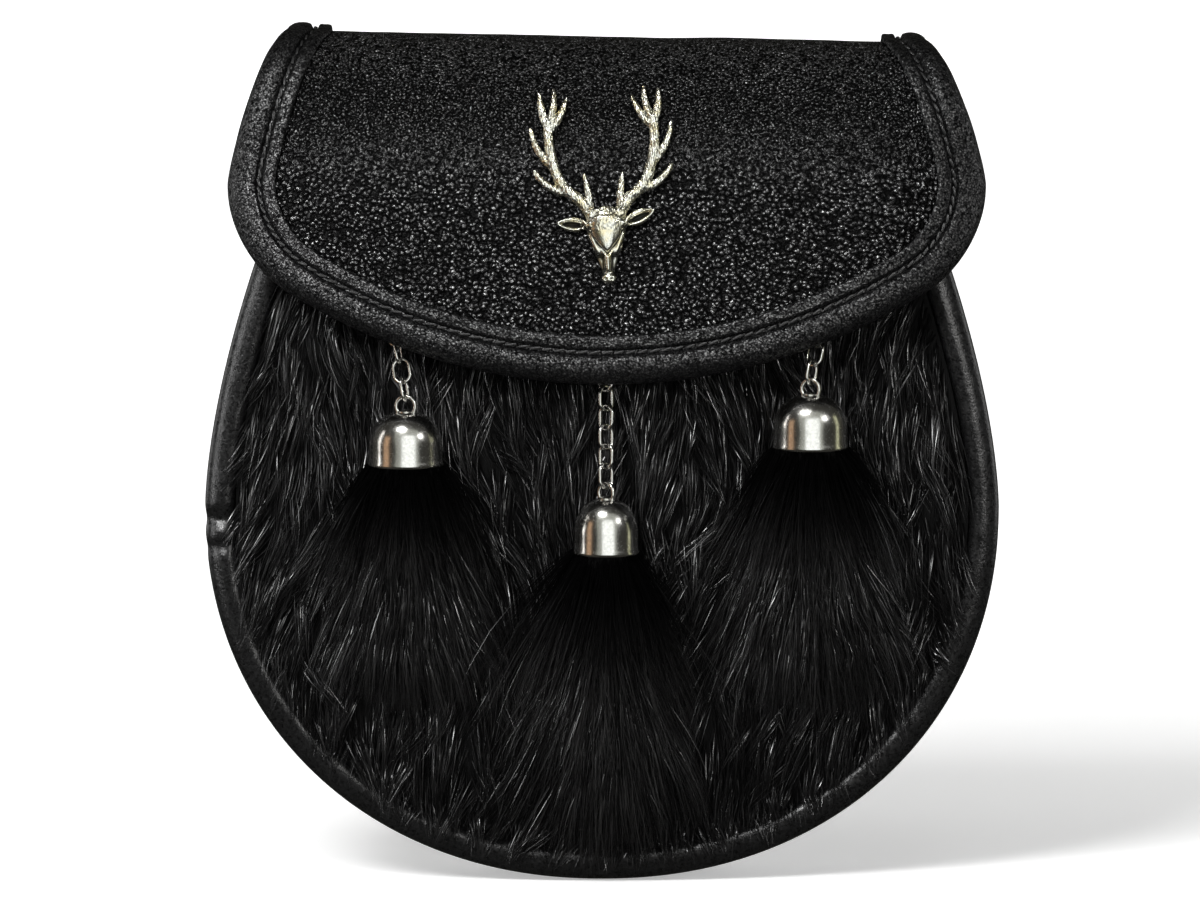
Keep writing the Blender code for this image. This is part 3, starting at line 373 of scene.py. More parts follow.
def dome(across, height):
    """How far the front panel stands forward of its edge."""
    if height < WIDEST_HEIGHT:
        drop = (WIDEST_HEIGHT - height) / (WIDEST_HEIGHT - BODY_BOTTOM)
        inside = 1 - abs(across / (BODY_WIDTH / 2)) ** ROUNDNESS - drop ** ROUNDNESS
    else:
        share = (height - WIDEST_HEIGHT) / (BODY_TOP - WIDEST_HEIGHT)
        inside = (1 - abs(across / half_width(height)) ** ROUNDNESS) * (1 - DOME_FALL * share ** 2)
    return FRONT_DOME * max(0.0, inside)


def front_place(across, height, proud):
    """Point that stands proud of the front panel's outer face."""
    return Vector((across, FRONT_OUTER - dome(across, height) - proud, height))


def smooth_step(value):
    """Eases a share from 0 to 1."""
    value = min(1.0, max(0.0, value))
    return value * value * (3 - 2 * value)


def spline(before, start, end, after, share):
    """Point of a smooth curve between start and end, for numbers and for vectors."""
    return 0.5 * (2 * start + (end - before) * share
                  + (2 * before - 5 * start + 4 * end - after) * share ** 2
                  + (3 * start - before - 3 * end + after) * share ** 3)


def flap_section():
    """Fine points of the flap's section with the length run to each, from back to front."""
    reach = FLAP_BACK_OUTER - FLAP_FRONT_OUTER
    marks = []
    for table, low in ((BACK_SECTION, FLAP_BACK_LOW), (FRONT_SECTION, FLAP_LOW)):
        for depth, drop in table:
            marks.append(Vector((FLAP_BACK_OUTER - reach * depth, FLAP_TOP - (FLAP_TOP - low) * drop)))
    marks = [2 * marks[0] - marks[1]] + marks + [2 * marks[-1] - marks[-2]]
    points = []
    for index in range(1, len(marks) - 2):
        before, start, end, after = marks[index - 1:index + 3]
        for step in range(SECTION_STEPS):
            points.append(spline(before, start, end, after, step / SECTION_STEPS))
    points.append(marks[-2])
    runs = [0.0]
    for index in range(1, len(points)):
        runs.append(runs[-1] + (points[index] - points[index - 1]).length)
    return points, runs


SECTION_POINTS, SECTION_RUNS = flap_section()
FLAP_LENGTH = SECTION_RUNS[-1]


def run_at_height(height):
    """Length run along the flap's section to a height on its front."""
    for index in range(len(SECTION_POINTS) - 1, 0, -1):
        low = SECTION_POINTS[index].y
        high = SECTION_POINTS[index - 1].y
        if low <= height < high:
            share = (height - low) / (high - low)
            return SECTION_RUNS[index] + (SECTION_RUNS[index - 1] - SECTION_RUNS[index]) * share
    return FLAP_LENGTH - (height - FLAP_LOW)


CREST_RUN = SECTION_RUNS[SECTION_STEPS * len(BACK_SECTION)]
WIDEST_RUN = run_at_height(FLAP_WIDEST_HEIGHT)


def section_at(run):
    """Depth, height and outward normal of the flap's section at a run."""
    index = int(np.searchsorted(SECTION_RUNS, run))
    index = min(max(1, index), len(SECTION_RUNS) - 1)
    start = SECTION_POINTS[index - 1]
    end = SECTION_POINTS[index]
    share = (run - SECTION_RUNS[index - 1]) / (SECTION_RUNS[index] - SECTION_RUNS[index - 1])
    before = SECTION_POINTS[max(0, index - 2)]
    after = SECTION_POINTS[min(len(SECTION_POINTS) - 1, index + 1)]
    along = (end - before).normalized() * (1 - share) + (after - start).normalized() * share
    along.normalize()
    return start + (end - start) * share, Vector((along.y, -along.x))


def flap_place(across, run, proud):
    """Point that stands proud of the flap's outer face, from its flat layout."""
    point, normal = section_at(run)
    forward = smooth_step((run - CREST_RUN) / (WIDEST_RUN - CREST_RUN))
    sink = FLAP_CROWN * forward * (abs(across) / (FLAP_WIDTH / 2)) ** 4
    place = point + normal * (proud - sink)
    lean = math.tan(FLAP_TILT) * across * (1 - forward)
    return Vector((across + FLAP_SHIFT, place.x, place.y - lean))


def flap_corner():
    """Radius of the flap's lower corners and the angle where they meet the low edge's arc."""
    half = FLAP_WIDTH / 2
    fall = FLAP_LENGTH - WIDEST_RUN
    big = FLAP_EDGE_RADIUS
    small = (big ** 2 - half ** 2 - (big - fall) ** 2) / (2 * (big - half))
    return small, math.atan2(half - small, big - fall)


def flap_edge(turn):
    """Point of the flap's flat outline: turn runs from -1 at the left back, by the low edge,
    to 1."""
    side = math.copysign(1, turn)
    turn = abs(turn)
    half = FLAP_WIDTH / 2
    big = FLAP_EDGE_RADIUS
    small, lean = flap_corner()
    arc = big * lean
    corner = small * (math.pi / 2 - lean)
    distance = turn * (arc + corner + WIDEST_RUN)
    if distance < arc:
        angle = distance / big
        return Vector((side * big * math.sin(angle), FLAP_LENGTH - big + big * math.cos(angle)))
    if distance < arc + corner:
        angle = lean + (distance - arc) / small
        across = half - small + small * math.sin(angle)
        return Vector((side * across, WIDEST_RUN + small * math.cos(angle)))
    run = WIDEST_RUN - (distance - arc - corner)
    return Vector((side * flap_half(run), run))


def flap_edge_length():
    """Length of the flap's outline from the middle of its low edge to the back."""
    small, lean = flap_corner()
    return FLAP_EDGE_RADIUS * lean + small * (math.pi / 2 - lean) + WIDEST_RUN


def flap_inset(turn, inset):
    """Point of the flap's flat outline moved inwards."""
    low = max(-1, turn - TURN_STEP)
    high = min(1, turn + TURN_STEP)
    along = (flap_edge(high) - flap_edge(low)).normalized()
    return flap_edge(turn) + Vector((along.y, -along.x)) * inset


def flap_half(run):
    """Half the flap's flat width at a run."""
    half = FLAP_WIDTH / 2
    if run <= WIDEST_RUN:
        share = min(1.0, (WIDEST_RUN - run) / (WIDEST_RUN - CREST_RUN))
        return half - (FLAP_WIDTH - FLAP_TOP_WIDTH) / 2 * share ** FLAP_SHOULDER_POWER
    small, lean = flap_corner()
    beyond = run - WIDEST_RUN
    if beyond < small * math.cos(lean):
        return half - small + math.sqrt(small ** 2 - beyond ** 2)
    return math.sqrt(max(0.0, FLAP_EDGE_RADIUS ** 2 - (FLAP_EDGE_RADIUS - FLAP_LENGTH + run) ** 2))


def bell_axis(row):
    """Middle of a bell's mouth: it rests on the fur."""
    rest_depth = front_place(row.side, row.top - row.tall / 2, PILE_FACE + REST_CLEARANCE).y
    return Vector((row.side, rest_depth - row.diameter / 2 - BELL_LIP, row.top - row.tall))


# Modelling helpers


def deselect():
    """Leaves edit mode and deselects everything."""
    if bpy.context.object and bpy.context.object.mode != "OBJECT":
        bpy.ops.object.mode_set(mode="OBJECT")
    bpy.ops.object.select_all(action="DESELECT")


def named(name):
    """Names the object that was just added, and puts its place into its mesh."""
    piece = bpy.context.object
    piece.name = name
    piece.data.name = name
    bpy.ops.object.transform_apply(location=True, rotation=True, scale=True)
    return piece


def placed(name, data):
    """Adds an object with its data to the scene."""
    made = bpy.data.objects.new(name, data)
    bpy.context.scene.collection.objects.link(made)
    return made


def laid_grid(name, columns, rows, place):
    """Adds a grid and lays its points on a form: place takes two shares from 0 to 1."""
    deselect()
    bpy.ops.mesh.primitive_grid_add(x_subdivisions=columns, y_subdivisions=rows, size=2)
    piece = named(name)
    for vert in piece.data.vertices:
        vert.co = place((vert.co.x + 1) / 2, (vert.co.y + 1) / 2)
    return piece


def closed_up(piece):
    """Merges the points that meet, fills the open ends and turns the faces outwards."""
    bpy.ops.object.mode_set(mode="EDIT")
    bpy.ops.mesh.select_mode(type="VERT")
    bpy.ops.mesh.select_all(action="SELECT")
    bpy.ops.mesh.remove_doubles(threshold=1e-6)
    bpy.ops.mesh.select_all(action="DESELECT")
    bpy.ops.mesh.select_non_manifold()
    bpy.ops.mesh.fill_holes(sides=0)
    bpy.ops.mesh.select_all(action="SELECT")
    bpy.ops.mesh.normals_make_consistent(inside=False)
    bpy.ops.object.mode_set(mode="OBJECT")
    return piece


def closed_up_sheet(piece, thickness, way):
    """Merges a sheet's points and gives it its thickness, forwards for a way of 1 and backwards
    for -1."""
    bpy.ops.object.mode_set(mode="EDIT")
    bpy.ops.mesh.select_all(action="SELECT")
    bpy.ops.mesh.remove_doubles(threshold=1e-6)
    bpy.ops.object.mode_set(mode="OBJECT")
    facing = sum(face.normal.y * face.area for face in piece.data.polygons)
    apply_modifier(piece, "SOLIDIFY", thickness=thickness, offset=way if facing < 0 else -way)
    bpy.ops.object.mode_set(mode="EDIT")
    bpy.ops.mesh.select_all(action="SELECT")
    bpy.ops.mesh.normals_make_consistent(inside=False)
    bpy.ops.object.mode_set(mode="OBJECT")
    return piece


def soften_edges(piece, width):
    """Bevels a piece's sharp edges."""
    apply_modifier(piece, "BEVEL", width=width, segments=2, limit_method="ANGLE",
                   angle_limit=math.radians(50))


def apply_modifier(piece, kind, **settings):
    """Adds a modifier with its settings and applies it."""
    bpy.context.view_layer.objects.active = piece
    made = piece.modifiers.new(kind.title(), kind)
    for key, value in settings.items():
        setattr(made, key, value)
    bpy.ops.object.modifier_apply(modifier=made.name)


def join(name, pieces):
    """Joins pieces into one."""
    deselect()
    for piece in pieces:
        piece.select_set(True)
    bpy.context.view_layer.objects.active = pieces[0]
    bpy.ops.object.join()
    return named(name)


def dress(piece, finish, nodes=(), smooth=35):
    """Gives a piece its finish and says where it belongs."""
    piece.data.materials.clear()
    piece.data.materials.append(finish)
    deselect()
    piece.select_set(True)
    bpy.context.view_layer.objects.active = piece
    bpy.ops.object.shade_smooth_by_angle(angle=math.radians(smooth))
    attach(piece, "root")
    if nodes:
        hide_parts(*nodes)
    return piece


def turned(name, centre, profile, sides):
    """Turns a profile of radius and height about an upright axis, one extruded ring at a time,
    and closes its ends."""
    deselect()
    radius, height = profile[0]
    bpy.ops.mesh.primitive_circle_add(
        vertices=sides, radius=radius, fill_type="NOTHING", location=centre + Vector((0, 0, height)))
    bpy.ops.object.mode_set(mode="EDIT")
    for next_radius, next_height in profile[1:]:
        bpy.ops.mesh.extrude_region_move(TRANSFORM_OT_translate={"value": (0, 0, next_height - height)})
        share = next_radius / radius
        bpy.ops.transform.resize(value=(share, share, 1), center_override=centre)
        radius, height = next_radius, next_height
    bpy.ops.object.mode_set(mode="OBJECT")
    return closed_up(named(name))


def tube(name, path, radii, sides, closed=False):
    """Round wire or horn along a path, with its own radius at each point."""
    count = len(path)
    rings = []
    up = Vector((0, 0, 1))
    for index, point in enumerate(path):
        before = path[(index - 1) % count] if closed else path[max(0, index - 1)]
        after = path[(index + 1) % count] if closed else path[min(count - 1, index + 1)]
        along = (after - before).normalized()
        side = along.cross(up if abs(along.dot(up)) < 0.9 else Vector((0, 1, 0))).normalized()
        out = side.cross(along)
        rings.append([point + radii[index] * (side * math.cos(a) + out * math.sin(a))
                      for a in (2 * math.pi * s / sides for s in range(sides))])
    columns = sides
    rows = count if closed else count - 1

    def place(u, v):
        ring = rings[round(v * rows) % count]
        return ring[round(u * columns) % sides]

    return closed_up(laid_grid(name, columns, rows, place))


def stitch_line(name, places, length, thick):
    """Sewn stitches: one is modelled and copied to every place, given as its middle, the
    direction it runs and the way out of the leather."""
    deselect()
    bpy.ops.mesh.primitive_uv_sphere_add(segments=8, ring_count=6, radius=0.5)
    first = bpy.context.object
    pattern = [vert.co.copy() for vert in first.data.vertices]
    faces = [tuple(face.vertices) for face in first.data.polygons]
    bpy.data.objects.remove(first, do_unlink=True)
    points = []
    walls = []
    for middle, along, out in places:
        side = along.cross(out).normalized()
        start = len(points)
        for co in pattern:
            flat = math.copysign(abs(co.z * 2) ** 0.6, co.z) / 2
            points.append(middle + along * flat * length + side * co.x * thick + out * co.y * thick * 0.8)
        walls += [tuple(start + corner for corner in face) for face in faces]
    mesh = bpy.data.meshes.new(name)
    mesh.from_pydata(points, [], walls)
    return placed(name, mesh)


# Materials


def new_finish(name, colour, roughness, metallic=0.0):
    """A material with its shader's own values set."""
    made = bpy.data.materials.new(name)
    made.use_nodes = True
    shader = made.node_tree.nodes["Principled BSDF"]
    shader.inputs["Base Color"].default_value = (*colour, 1)
    shader.inputs["Roughness"].default_value = roughness
    shader.inputs["Metallic"].default_value = metallic
    return made, made.node_tree, shader


def add_node(tree, kind, inputs=None, **settings):
    """Adds a node with its settings and input values."""
    made = tree.nodes.new(kind)
    for key, value in settings.items():
        setattr(made, key, value)
    for key, value in (inputs or {}).items():
        made.inputs[key].default_value = value
    return made


def ramp(tree, source, stops, eased=False):
    """A colour ramp of grey or coloured stops, fed by a socket."""
    made = tree.nodes.new("ShaderNodeValToRGB")
    made.color_ramp.interpolation = "B_SPLINE" if eased else "LINEAR"
    elements = made.color_ramp.elements
    for index, (place, value) in enumerate(stops):
        element = elements[index] if index < 2 else elements.new(place)
        element.position = place
        element.color = (*value, 1) if isinstance(value, tuple) else (value, value, value, 1)
    tree.links.new(source, made.inputs["Fac"])
    return made.outputs["Color"]


def blend_math(tree, kind, first, second):
    """One Math node of two sockets or values."""
    made = tree.nodes.new("ShaderNodeMath")
    made.operation = kind
    for index, value in enumerate((first, second)):
        if isinstance(value, (int, float)):
            made.inputs[index].default_value = value
        else:
            tree.links.new(value, made.inputs[index])
    return made.outputs["Value"]


def times(tree, first, second):
    """Product of two sockets or values."""
    return blend_math(tree, "MULTIPLY", first, second)


def plus(tree, first, second):
    """Sum of two sockets or values."""
    return blend_math(tree, "ADD", first, second)


def blend_floats(tree, share, first, second):
    """First at a share of 0, second at 1."""
    made = tree.nodes.new("ShaderNodeMix")
    tree.links.new(share, made.inputs[0])
    tree.links.new(first, made.inputs[2])
    tree.links.new(second, made.inputs[3])
    return made.outputs[0]


def bump(tree, height, distance, shader, strength=1.0):
    """Raises the surface by a height socket."""
    made = add_node(tree, "ShaderNodeBump", {"Strength": strength, "Distance": distance})
    tree.links.new(height, made.inputs["Height"])
    tree.links.new(made.outputs["Normal"], shader.inputs["Normal"])
    return made


def object_coordinates(tree, scale=(1, 1, 1)):
    """Object coordinates through a Mapping node."""
    place = add_node(tree, "ShaderNodeTexCoord")
    mapping = add_node(tree, "ShaderNodeMapping", {"Scale": scale})
    tree.links.new(place.outputs["Object"], mapping.inputs["Vector"])
    return mapping.outputs["Vector"]


def noise_field(tree, vector, scale, detail=2.0, roughness=0.5, distortion=0.0):
    """A noise texture's grey value."""
    made = add_node(tree, "ShaderNodeTexNoise",
                    {"Scale": scale, "Detail": detail, "Roughness": roughness, "Distortion": distortion})
    tree.links.new(vector, made.inputs["Vector"])
    return made.outputs["Fac"]


def grained_leather(look):
    """Pebbled black leather: rounded pebbles parted by creases, each with its own shine. The
    creases are painted darker as shade, with their shine cut. The pebbles are smaller towards the fold."""
    made, tree, shader = new_finish("grained_leather_finish", look.grain_colour, 0.3)
    shader.inputs["IOR"].default_value = 2.1
    place = object_coordinates(tree)
    shift = add_node(tree, "ShaderNodeTexNoise", {"Scale": 520.0, "Detail": 2.0})
    tree.links.new(place, shift.inputs["Vector"])
    mix = add_node(tree, "ShaderNodeMix", data_type="VECTOR")
    mix.inputs["Factor"].default_value = 0.0011
    tree.links.new(place, mix.inputs[4])
    tree.links.new(shift.outputs["Color"], mix.inputs[5])
    axes = add_node(tree, "ShaderNodeSeparateXYZ")
    tree.links.new(place, axes.inputs["Vector"])
    upper = add_node(tree, "ShaderNodeMapRange", {"From Min": 0.012, "From Max": 0.034})
    tree.links.new(axes.outputs["Z"], upper.inputs["Value"])

    def pebbles(size):
        cells = add_node(tree, "ShaderNodeTexVoronoi", {"Scale": 1 / size}, feature="F1")
        tree.links.new(mix.outputs[1], cells.inputs["Vector"])
        own = add_node(tree, "ShaderNodeSeparateColor")
        tree.links.new(cells.outputs["Color"], own.inputs["Color"])
        stops = ((0.0, 1.0), (0.80, 0.0), (0.34, 0.80), (0.56, 0.26))
        return ramp(tree, cells.outputs["Distance"], stops, True), own.outputs["Red"]

    large, large_own = pebbles(look.grain_size)
    fine, fine_own = pebbles(look.grain_size * 0.66)
    pebble = blend_floats(tree, upper.outputs["Result"], large, fine)
    own = blend_floats(tree, upper.outputs["Result"], large_own, fine_own)
    wrinkle = noise_field(tree, place, 3400.0, 4.0, 0.60)
    height = times(tree, pebble, plus(tree, 0.75, times(tree, own, 0.5)))
    height = plus(tree, height, times(tree, wrinkle, 0.20))
    broad = times(tree, noise_field(tree, place, 90.0, 2.0), 0.9)
    height = plus(tree, height, broad)
    bump(tree, height, 0.00062, shader)
    # Painted shade: the base colour goes nearly black in the creases between pebbles, and the shine below
    # is cut in them too.
    colour = ramp(tree, pebble, ((0.1, 0.0004), (0.9, tuple(look.grain_colour))))
    tree.links.new(colour, shader.inputs["Base Color"])
    shine = times(tree, ramp(tree, pebble, ((0.26, 0.04), (0.84, 1.0))),
                  ramp(tree, own, ((0.0, 0.12), (1.0, 1.0), (0.62, 0.40))))
    shine = times(tree, shine, ramp(tree, wrinkle, ((0.36, 0.55), (0.60, 1.0))))
    tree.links.new(shine, shader.inputs["Specular IOR Level"])
    tree.links.new(ramp(tree, wrinkle, ((0.3, 0.18), (0.7, 0.34))), shader.inputs["Roughness"])
    return made


def smooth_leather(look, name):
    """Smooth black leather with fine wrinkles and a satin shine; its creases are painted darker as shade.
    """
    depth, contrast = SMOOTH_LEATHERS[name]
    made, tree, shader = new_finish(name, look.smooth_colour, 0.42)
    shader.inputs["IOR"].default_value = 1.5 + 0.35 * contrast
    place = object_coordinates(tree)
    grains = add_node(tree, "ShaderNodeTexVoronoi", {"Scale": 1700.0}, feature="F1")
    tree.links.new(place, grains.inputs["Vector"])
    crease = noise_field(tree, place, 1100.0, 4.0, 0.66, 0.8)
    broad = noise_field(tree, place, 170.0, 3.0, 0.55)
    height = plus(tree, times(tree, grains.outputs["Distance"], -0.8), times(tree, crease, 1.4))
    height = plus(tree, height, times(tree, broad, 1.4))
    bump(tree, height, depth, shader)
    dull, bright = 0.42 - 0.40 * contrast, 0.42 + 0.5 * contrast
    shine = times(tree, ramp(tree, crease, ((0.40, dull), (0.62, bright))),
                  ramp(tree, grains.outputs["Distance"], ((0.15, 1.0), (0.62, 1.0 - 0.9 * contrast))))
    tree.links.new(shine, shader.inputs["Specular IOR Level"])
    tree.links.new(ramp(tree, crease, ((0.3, 0.24), (0.7, 0.36))), shader.inputs["Roughness"])
    # Painted shade: the colour falls to a third in the creases, where the wrinkles sink, and the shine
    # above is dimmed there.
    low = tuple(c * 0.3 for c in look.smooth_colour)
    colour = ramp(tree, crease, ((0.35, low), (0.7, tuple(look.smooth_colour))))
    tree.links.new(colour, shader.inputs["Base Color"])
    return made


def leather_named(look, name):
    """One of the smooth leathers, made when it is first asked for."""
    return finish_named(name, smooth_leather, look, name)


def thread_finish():
    """Waxed black thread with its twist."""
    made, tree, shader = new_finish("thread_finish", (0.012, 0.012, 0.012), 0.38)
    wave = add_node(tree, "ShaderNodeTexWave", {"Scale": 900.0, "Distortion": 1.5})
    tree.links.new(object_coordinates(tree, (1, 1, 0.6)), wave.inputs["Vector"])
    bump(tree, wave.outputs["Fac"], 0.00008, shader)
    return made


def fur_finish(look, name, shade, gloss):
    """Black hair: each point has its own tone with painted light and shade, and only the lightest hairs
    shine.
    """
    made, tree, shader = new_finish(name, look.colour, gloss)
    shader.inputs["IOR"].default_value = 1.7
    own = add_node(tree, "ShaderNodeAttribute", attribute_name="hair_tone_and_shade")
    # The ramp runs from painted shade at the roots and deep in the pile, by the fur's own colour, to the
    # lightest hairs, which are partly painted light; the shine follows it.
    dark = tuple(c * 0.25 for c in look.colour)
    light = tuple(c * shade for c in look.colour)
    tree.links.new(ramp(tree, own.outputs["Fac"], ((0.0, dark), (1.0, light), (0.6, tuple(look.colour)))),
                   shader.inputs["Base Color"])
    tree.links.new(ramp(tree, own.outputs["Fac"], ((0.05, 0.0), (1.0, 1.0), (0.40, 0.12), (0.72, 0.50))),
                   shader.inputs["Specular IOR Level"])
    return made


def skin_finish(look):
    """Dark base under the hair, streaked downwards; its darkness is the fur's own black with painted shade
    of the deep pile.
    """
    made, tree, shader = new_finish("fur_base_shade_finish", look.colour, 0.75)
    shader.inputs["Specular IOR Level"].default_value = 0.08
    streak = noise_field(tree, object_coordinates(tree, (1, 1, 0.12)), 1600.0, 3.0, 0.7)
    bump(tree, streak, 0.0005, shader)
    # Painted shade: the base colour runs from 0.0006 to 0.0025, darker than the hair, for the shade deep in
    # the pile.
    tree.links.new(ramp(tree, streak, ((0.3, 0.0006), (0.75, 0.0025))), shader.inputs["Base Color"])
    return made


def chrome_finish(look):
    """Polished plating, softened by fine wear, with the faintest waviness."""
    made, tree, shader = new_finish("chrome_finish", look.chrome_colour, 0.12, 1.0)
    place = object_coordinates(tree)
    bump(tree, noise_field(tree, place, 260.0, 2.0), 0.00003, shader)
    marks = noise_field(tree, place, 1300.0, 5.0, 0.75)
    tree.links.new(ramp(tree, marks, ((0.30, 0.13), (0.75, 0.32))), shader.inputs["Roughness"])
    tint = tuple(c * 0.78 for c in look.chrome_colour)
    colour = ramp(tree, marks, ((0.35, tuple(look.chrome_colour)), (0.75, tint)))
    tree.links.new(colour, shader.inputs["Base Color"])
    return made


def silver_finish(look):
    """Cast antique silver: bright on its raised parts, blackened in its recesses, with a warm
    tarnish in patches."""
    made, tree, shader = new_finish("antique_silver_finish", look.silver_colour, 0.25, 1.0)
    recess = add_node(tree, "ShaderNodeAttribute", attribute_name="recess")
    place = object_coordinates(tree)
    patches = noise_field(tree, place, 420.0, 3.0, 0.6)
    bright = tuple(look.silver_colour)
    warm = (bright[0] * 1.02, bright[1] * 0.93, bright[2] * 0.70)
    tone = ramp(tree, patches, ((0.42, bright), (0.68, warm)))
    dark = ramp(tree, recess.outputs["Fac"], ((0.0, 1.0), (0.36, 0.70), (0.52, 0.10), (1.0, 0.015)))
    mix = add_node(tree, "ShaderNodeMix", data_type="RGBA", blend_type="MULTIPLY")
    mix.inputs["Factor"].default_value = 1.0
    tree.links.new(tone, mix.inputs[6])
    tree.links.new(dark, mix.inputs[7])
    tree.links.new(mix.outputs[2], shader.inputs["Base Color"])
    grit = noise_field(tree, place, 2400.0, 4.0, 0.6)
    bump(tree, grit, 0.00006, shader)
    tree.links.new(ramp(tree, recess.outputs["Fac"], ((0.2, 0.24), (0.7, 0.6))), shader.inputs["Roughness"])
    return made


def floor_finish(stage):
    """Pale floor. It glows softly near the pouch, where it still takes a shadow, and is white
    farther away."""
    made, tree, shader = new_finish("floor_finish", stage.floor_colour, 0.75)
    place = object_coordinates(tree)
    low = tuple(c * 0.99 for c in stage.floor_colour)
    patches = noise_field(tree, place, 6.0, 2.0)
    colour = ramp(tree, patches, ((0.3, low), (0.7, tuple(stage.floor_colour))))
    tree.links.new(colour, shader.inputs["Base Color"])
    away = add_node(tree, "ShaderNodeVectorMath", operation="LENGTH")
    tree.links.new(place, away.inputs[0])
    glow = ramp(tree, away.outputs["Value"], ((0.30, stage.floor_glow), (1.0, 1.0)), True)
    tree.links.new(glow, shader.inputs["Emission Strength"])
    shader.inputs["Emission Color"].default_value = (1, 1, 1, 1)
    return made


def finish_named(name, maker, *values):
    """The finish of that name, made when it is first asked for."""
    return bpy.data.materials.get(name) or maker(*values)


# Hair


def lay_of_fur(across, height):
    """Lean of the front's fur from straight down, in radians, over arrays of places."""
    lean = 0.42 * np.sin(across * 47 + 0.9 + height * 12) * np.cos(height * 38 + across * 9)
    lean = lean + 0.14 * np.sin(across * 121 - height * 88) + 0.9 * across
    return lean


def body_shares(height):
    """Over arrays of heights: the share of the way down below the widest height, the share of the
    way up above it, and half the width up there."""
    drop = np.clip((WIDEST_HEIGHT - height) / (WIDEST_HEIGHT - BODY_BOTTOM), 0, None)
    share = np.clip((height - WIDEST_HEIGHT) / (BODY_TOP - WIDEST_HEIGHT), 0, None)
    return drop, share, BODY_WIDTH / 2 - (BODY_WIDTH - TOP_WIDTH) / 2 * share ** TAPER_POWER


def inside_depth(across, height):
    """Distance inwards from the pouch's outline, roughly, over arrays of places."""
    drop, _, half = body_shares(height)
    radial = (np.abs(across) / (BODY_WIDTH / 2)) ** ROUNDNESS + drop ** ROUNDNESS
    lower = (1 - radial ** (1 / ROUNDNESS)) * (BODY_WIDTH / 2)
    return np.where(height < WIDEST_HEIGHT, lower, half - np.abs(across))


def dome_of(across, height):
    """The front panel's dome over arrays of places."""
    drop, share, half = body_shares(height)
    lower = 1 - np.abs(across / (BODY_WIDTH / 2)) ** ROUNDNESS - drop ** ROUNDNESS
    upper = (1 - np.abs(across / half) ** ROUNDNESS) * (1 - DOME_FALL * share ** 2)
    return FRONT_DOME * np.clip(np.where(height < WIDEST_HEIGHT, lower, upper), 0, None)


def hair_piece(name, paths, widths, twists, hair_tones_and_shade):
    """One mesh of flat tapering hairs along their paths, each turned about its own length by its
    twist. Each point keeps its tone and painted shade for the finish."""
    count, steps, _ = paths.shape
    tangent = np.gradient(paths, axis=1)
    tangent /= np.linalg.norm(tangent, axis=2, keepdims=True) + 1e-12
    out = np.zeros_like(paths)
    out[..., 1] = -1
    side = np.cross(tangent, out)
    side /= np.linalg.norm(side, axis=2, keepdims=True) + 1e-12
    rise = np.cross(side, tangent)
    turn = twists[:, None, None]
    flat = side * np.cos(turn) + rise * np.sin(turn)
    along = np.linspace(0, 1, steps)
    taper = (1 - along ** 2.2) * (0.75 + 0.25 * np.sin(along * math.pi))
    half = widths[:, None, None] / 2 * taper[None, :, None]
    left = paths - flat * half
    right = paths + flat * half
    per = 2 * (steps - 1) + 1
    points = np.empty((count, per, 3))
    points[:, 0:-1:2] = left[:, :-1]
    points[:, 1:-1:2] = right[:, :-1]
    points[:, -1] = paths[:, -1]
    start = (np.arange(count) * per)[:, None]
    quads = []
    for step in range(steps - 2):
        corner = 2 * step
        quads.append(start + np.array([[corner, corner + 1, corner + 3, corner + 2]]))
    quads = np.concatenate(quads)
    tips = start + np.array([[per - 3, per - 2, per - 1]])
    mesh = bpy.data.meshes.new(name)
    mesh.from_pydata(points.reshape(-1, 3).tolist(), [], quads.tolist() + tips.tolist())
    values = np.empty((count, per))
    values[:, 0:-1:2] = hair_tones_and_shade[:, :-1]
    values[:, 1:-1:2] = hair_tones_and_shade[:, :-1]
    values[:, -1] = hair_tones_and_shade[:, -1]
    shade = mesh.attributes.new("hair_tone_and_shade", "FLOAT", "POINT")
    shade.data.foreach_set("value", values.ravel().astype(np.float32))
    return placed(name, mesh)


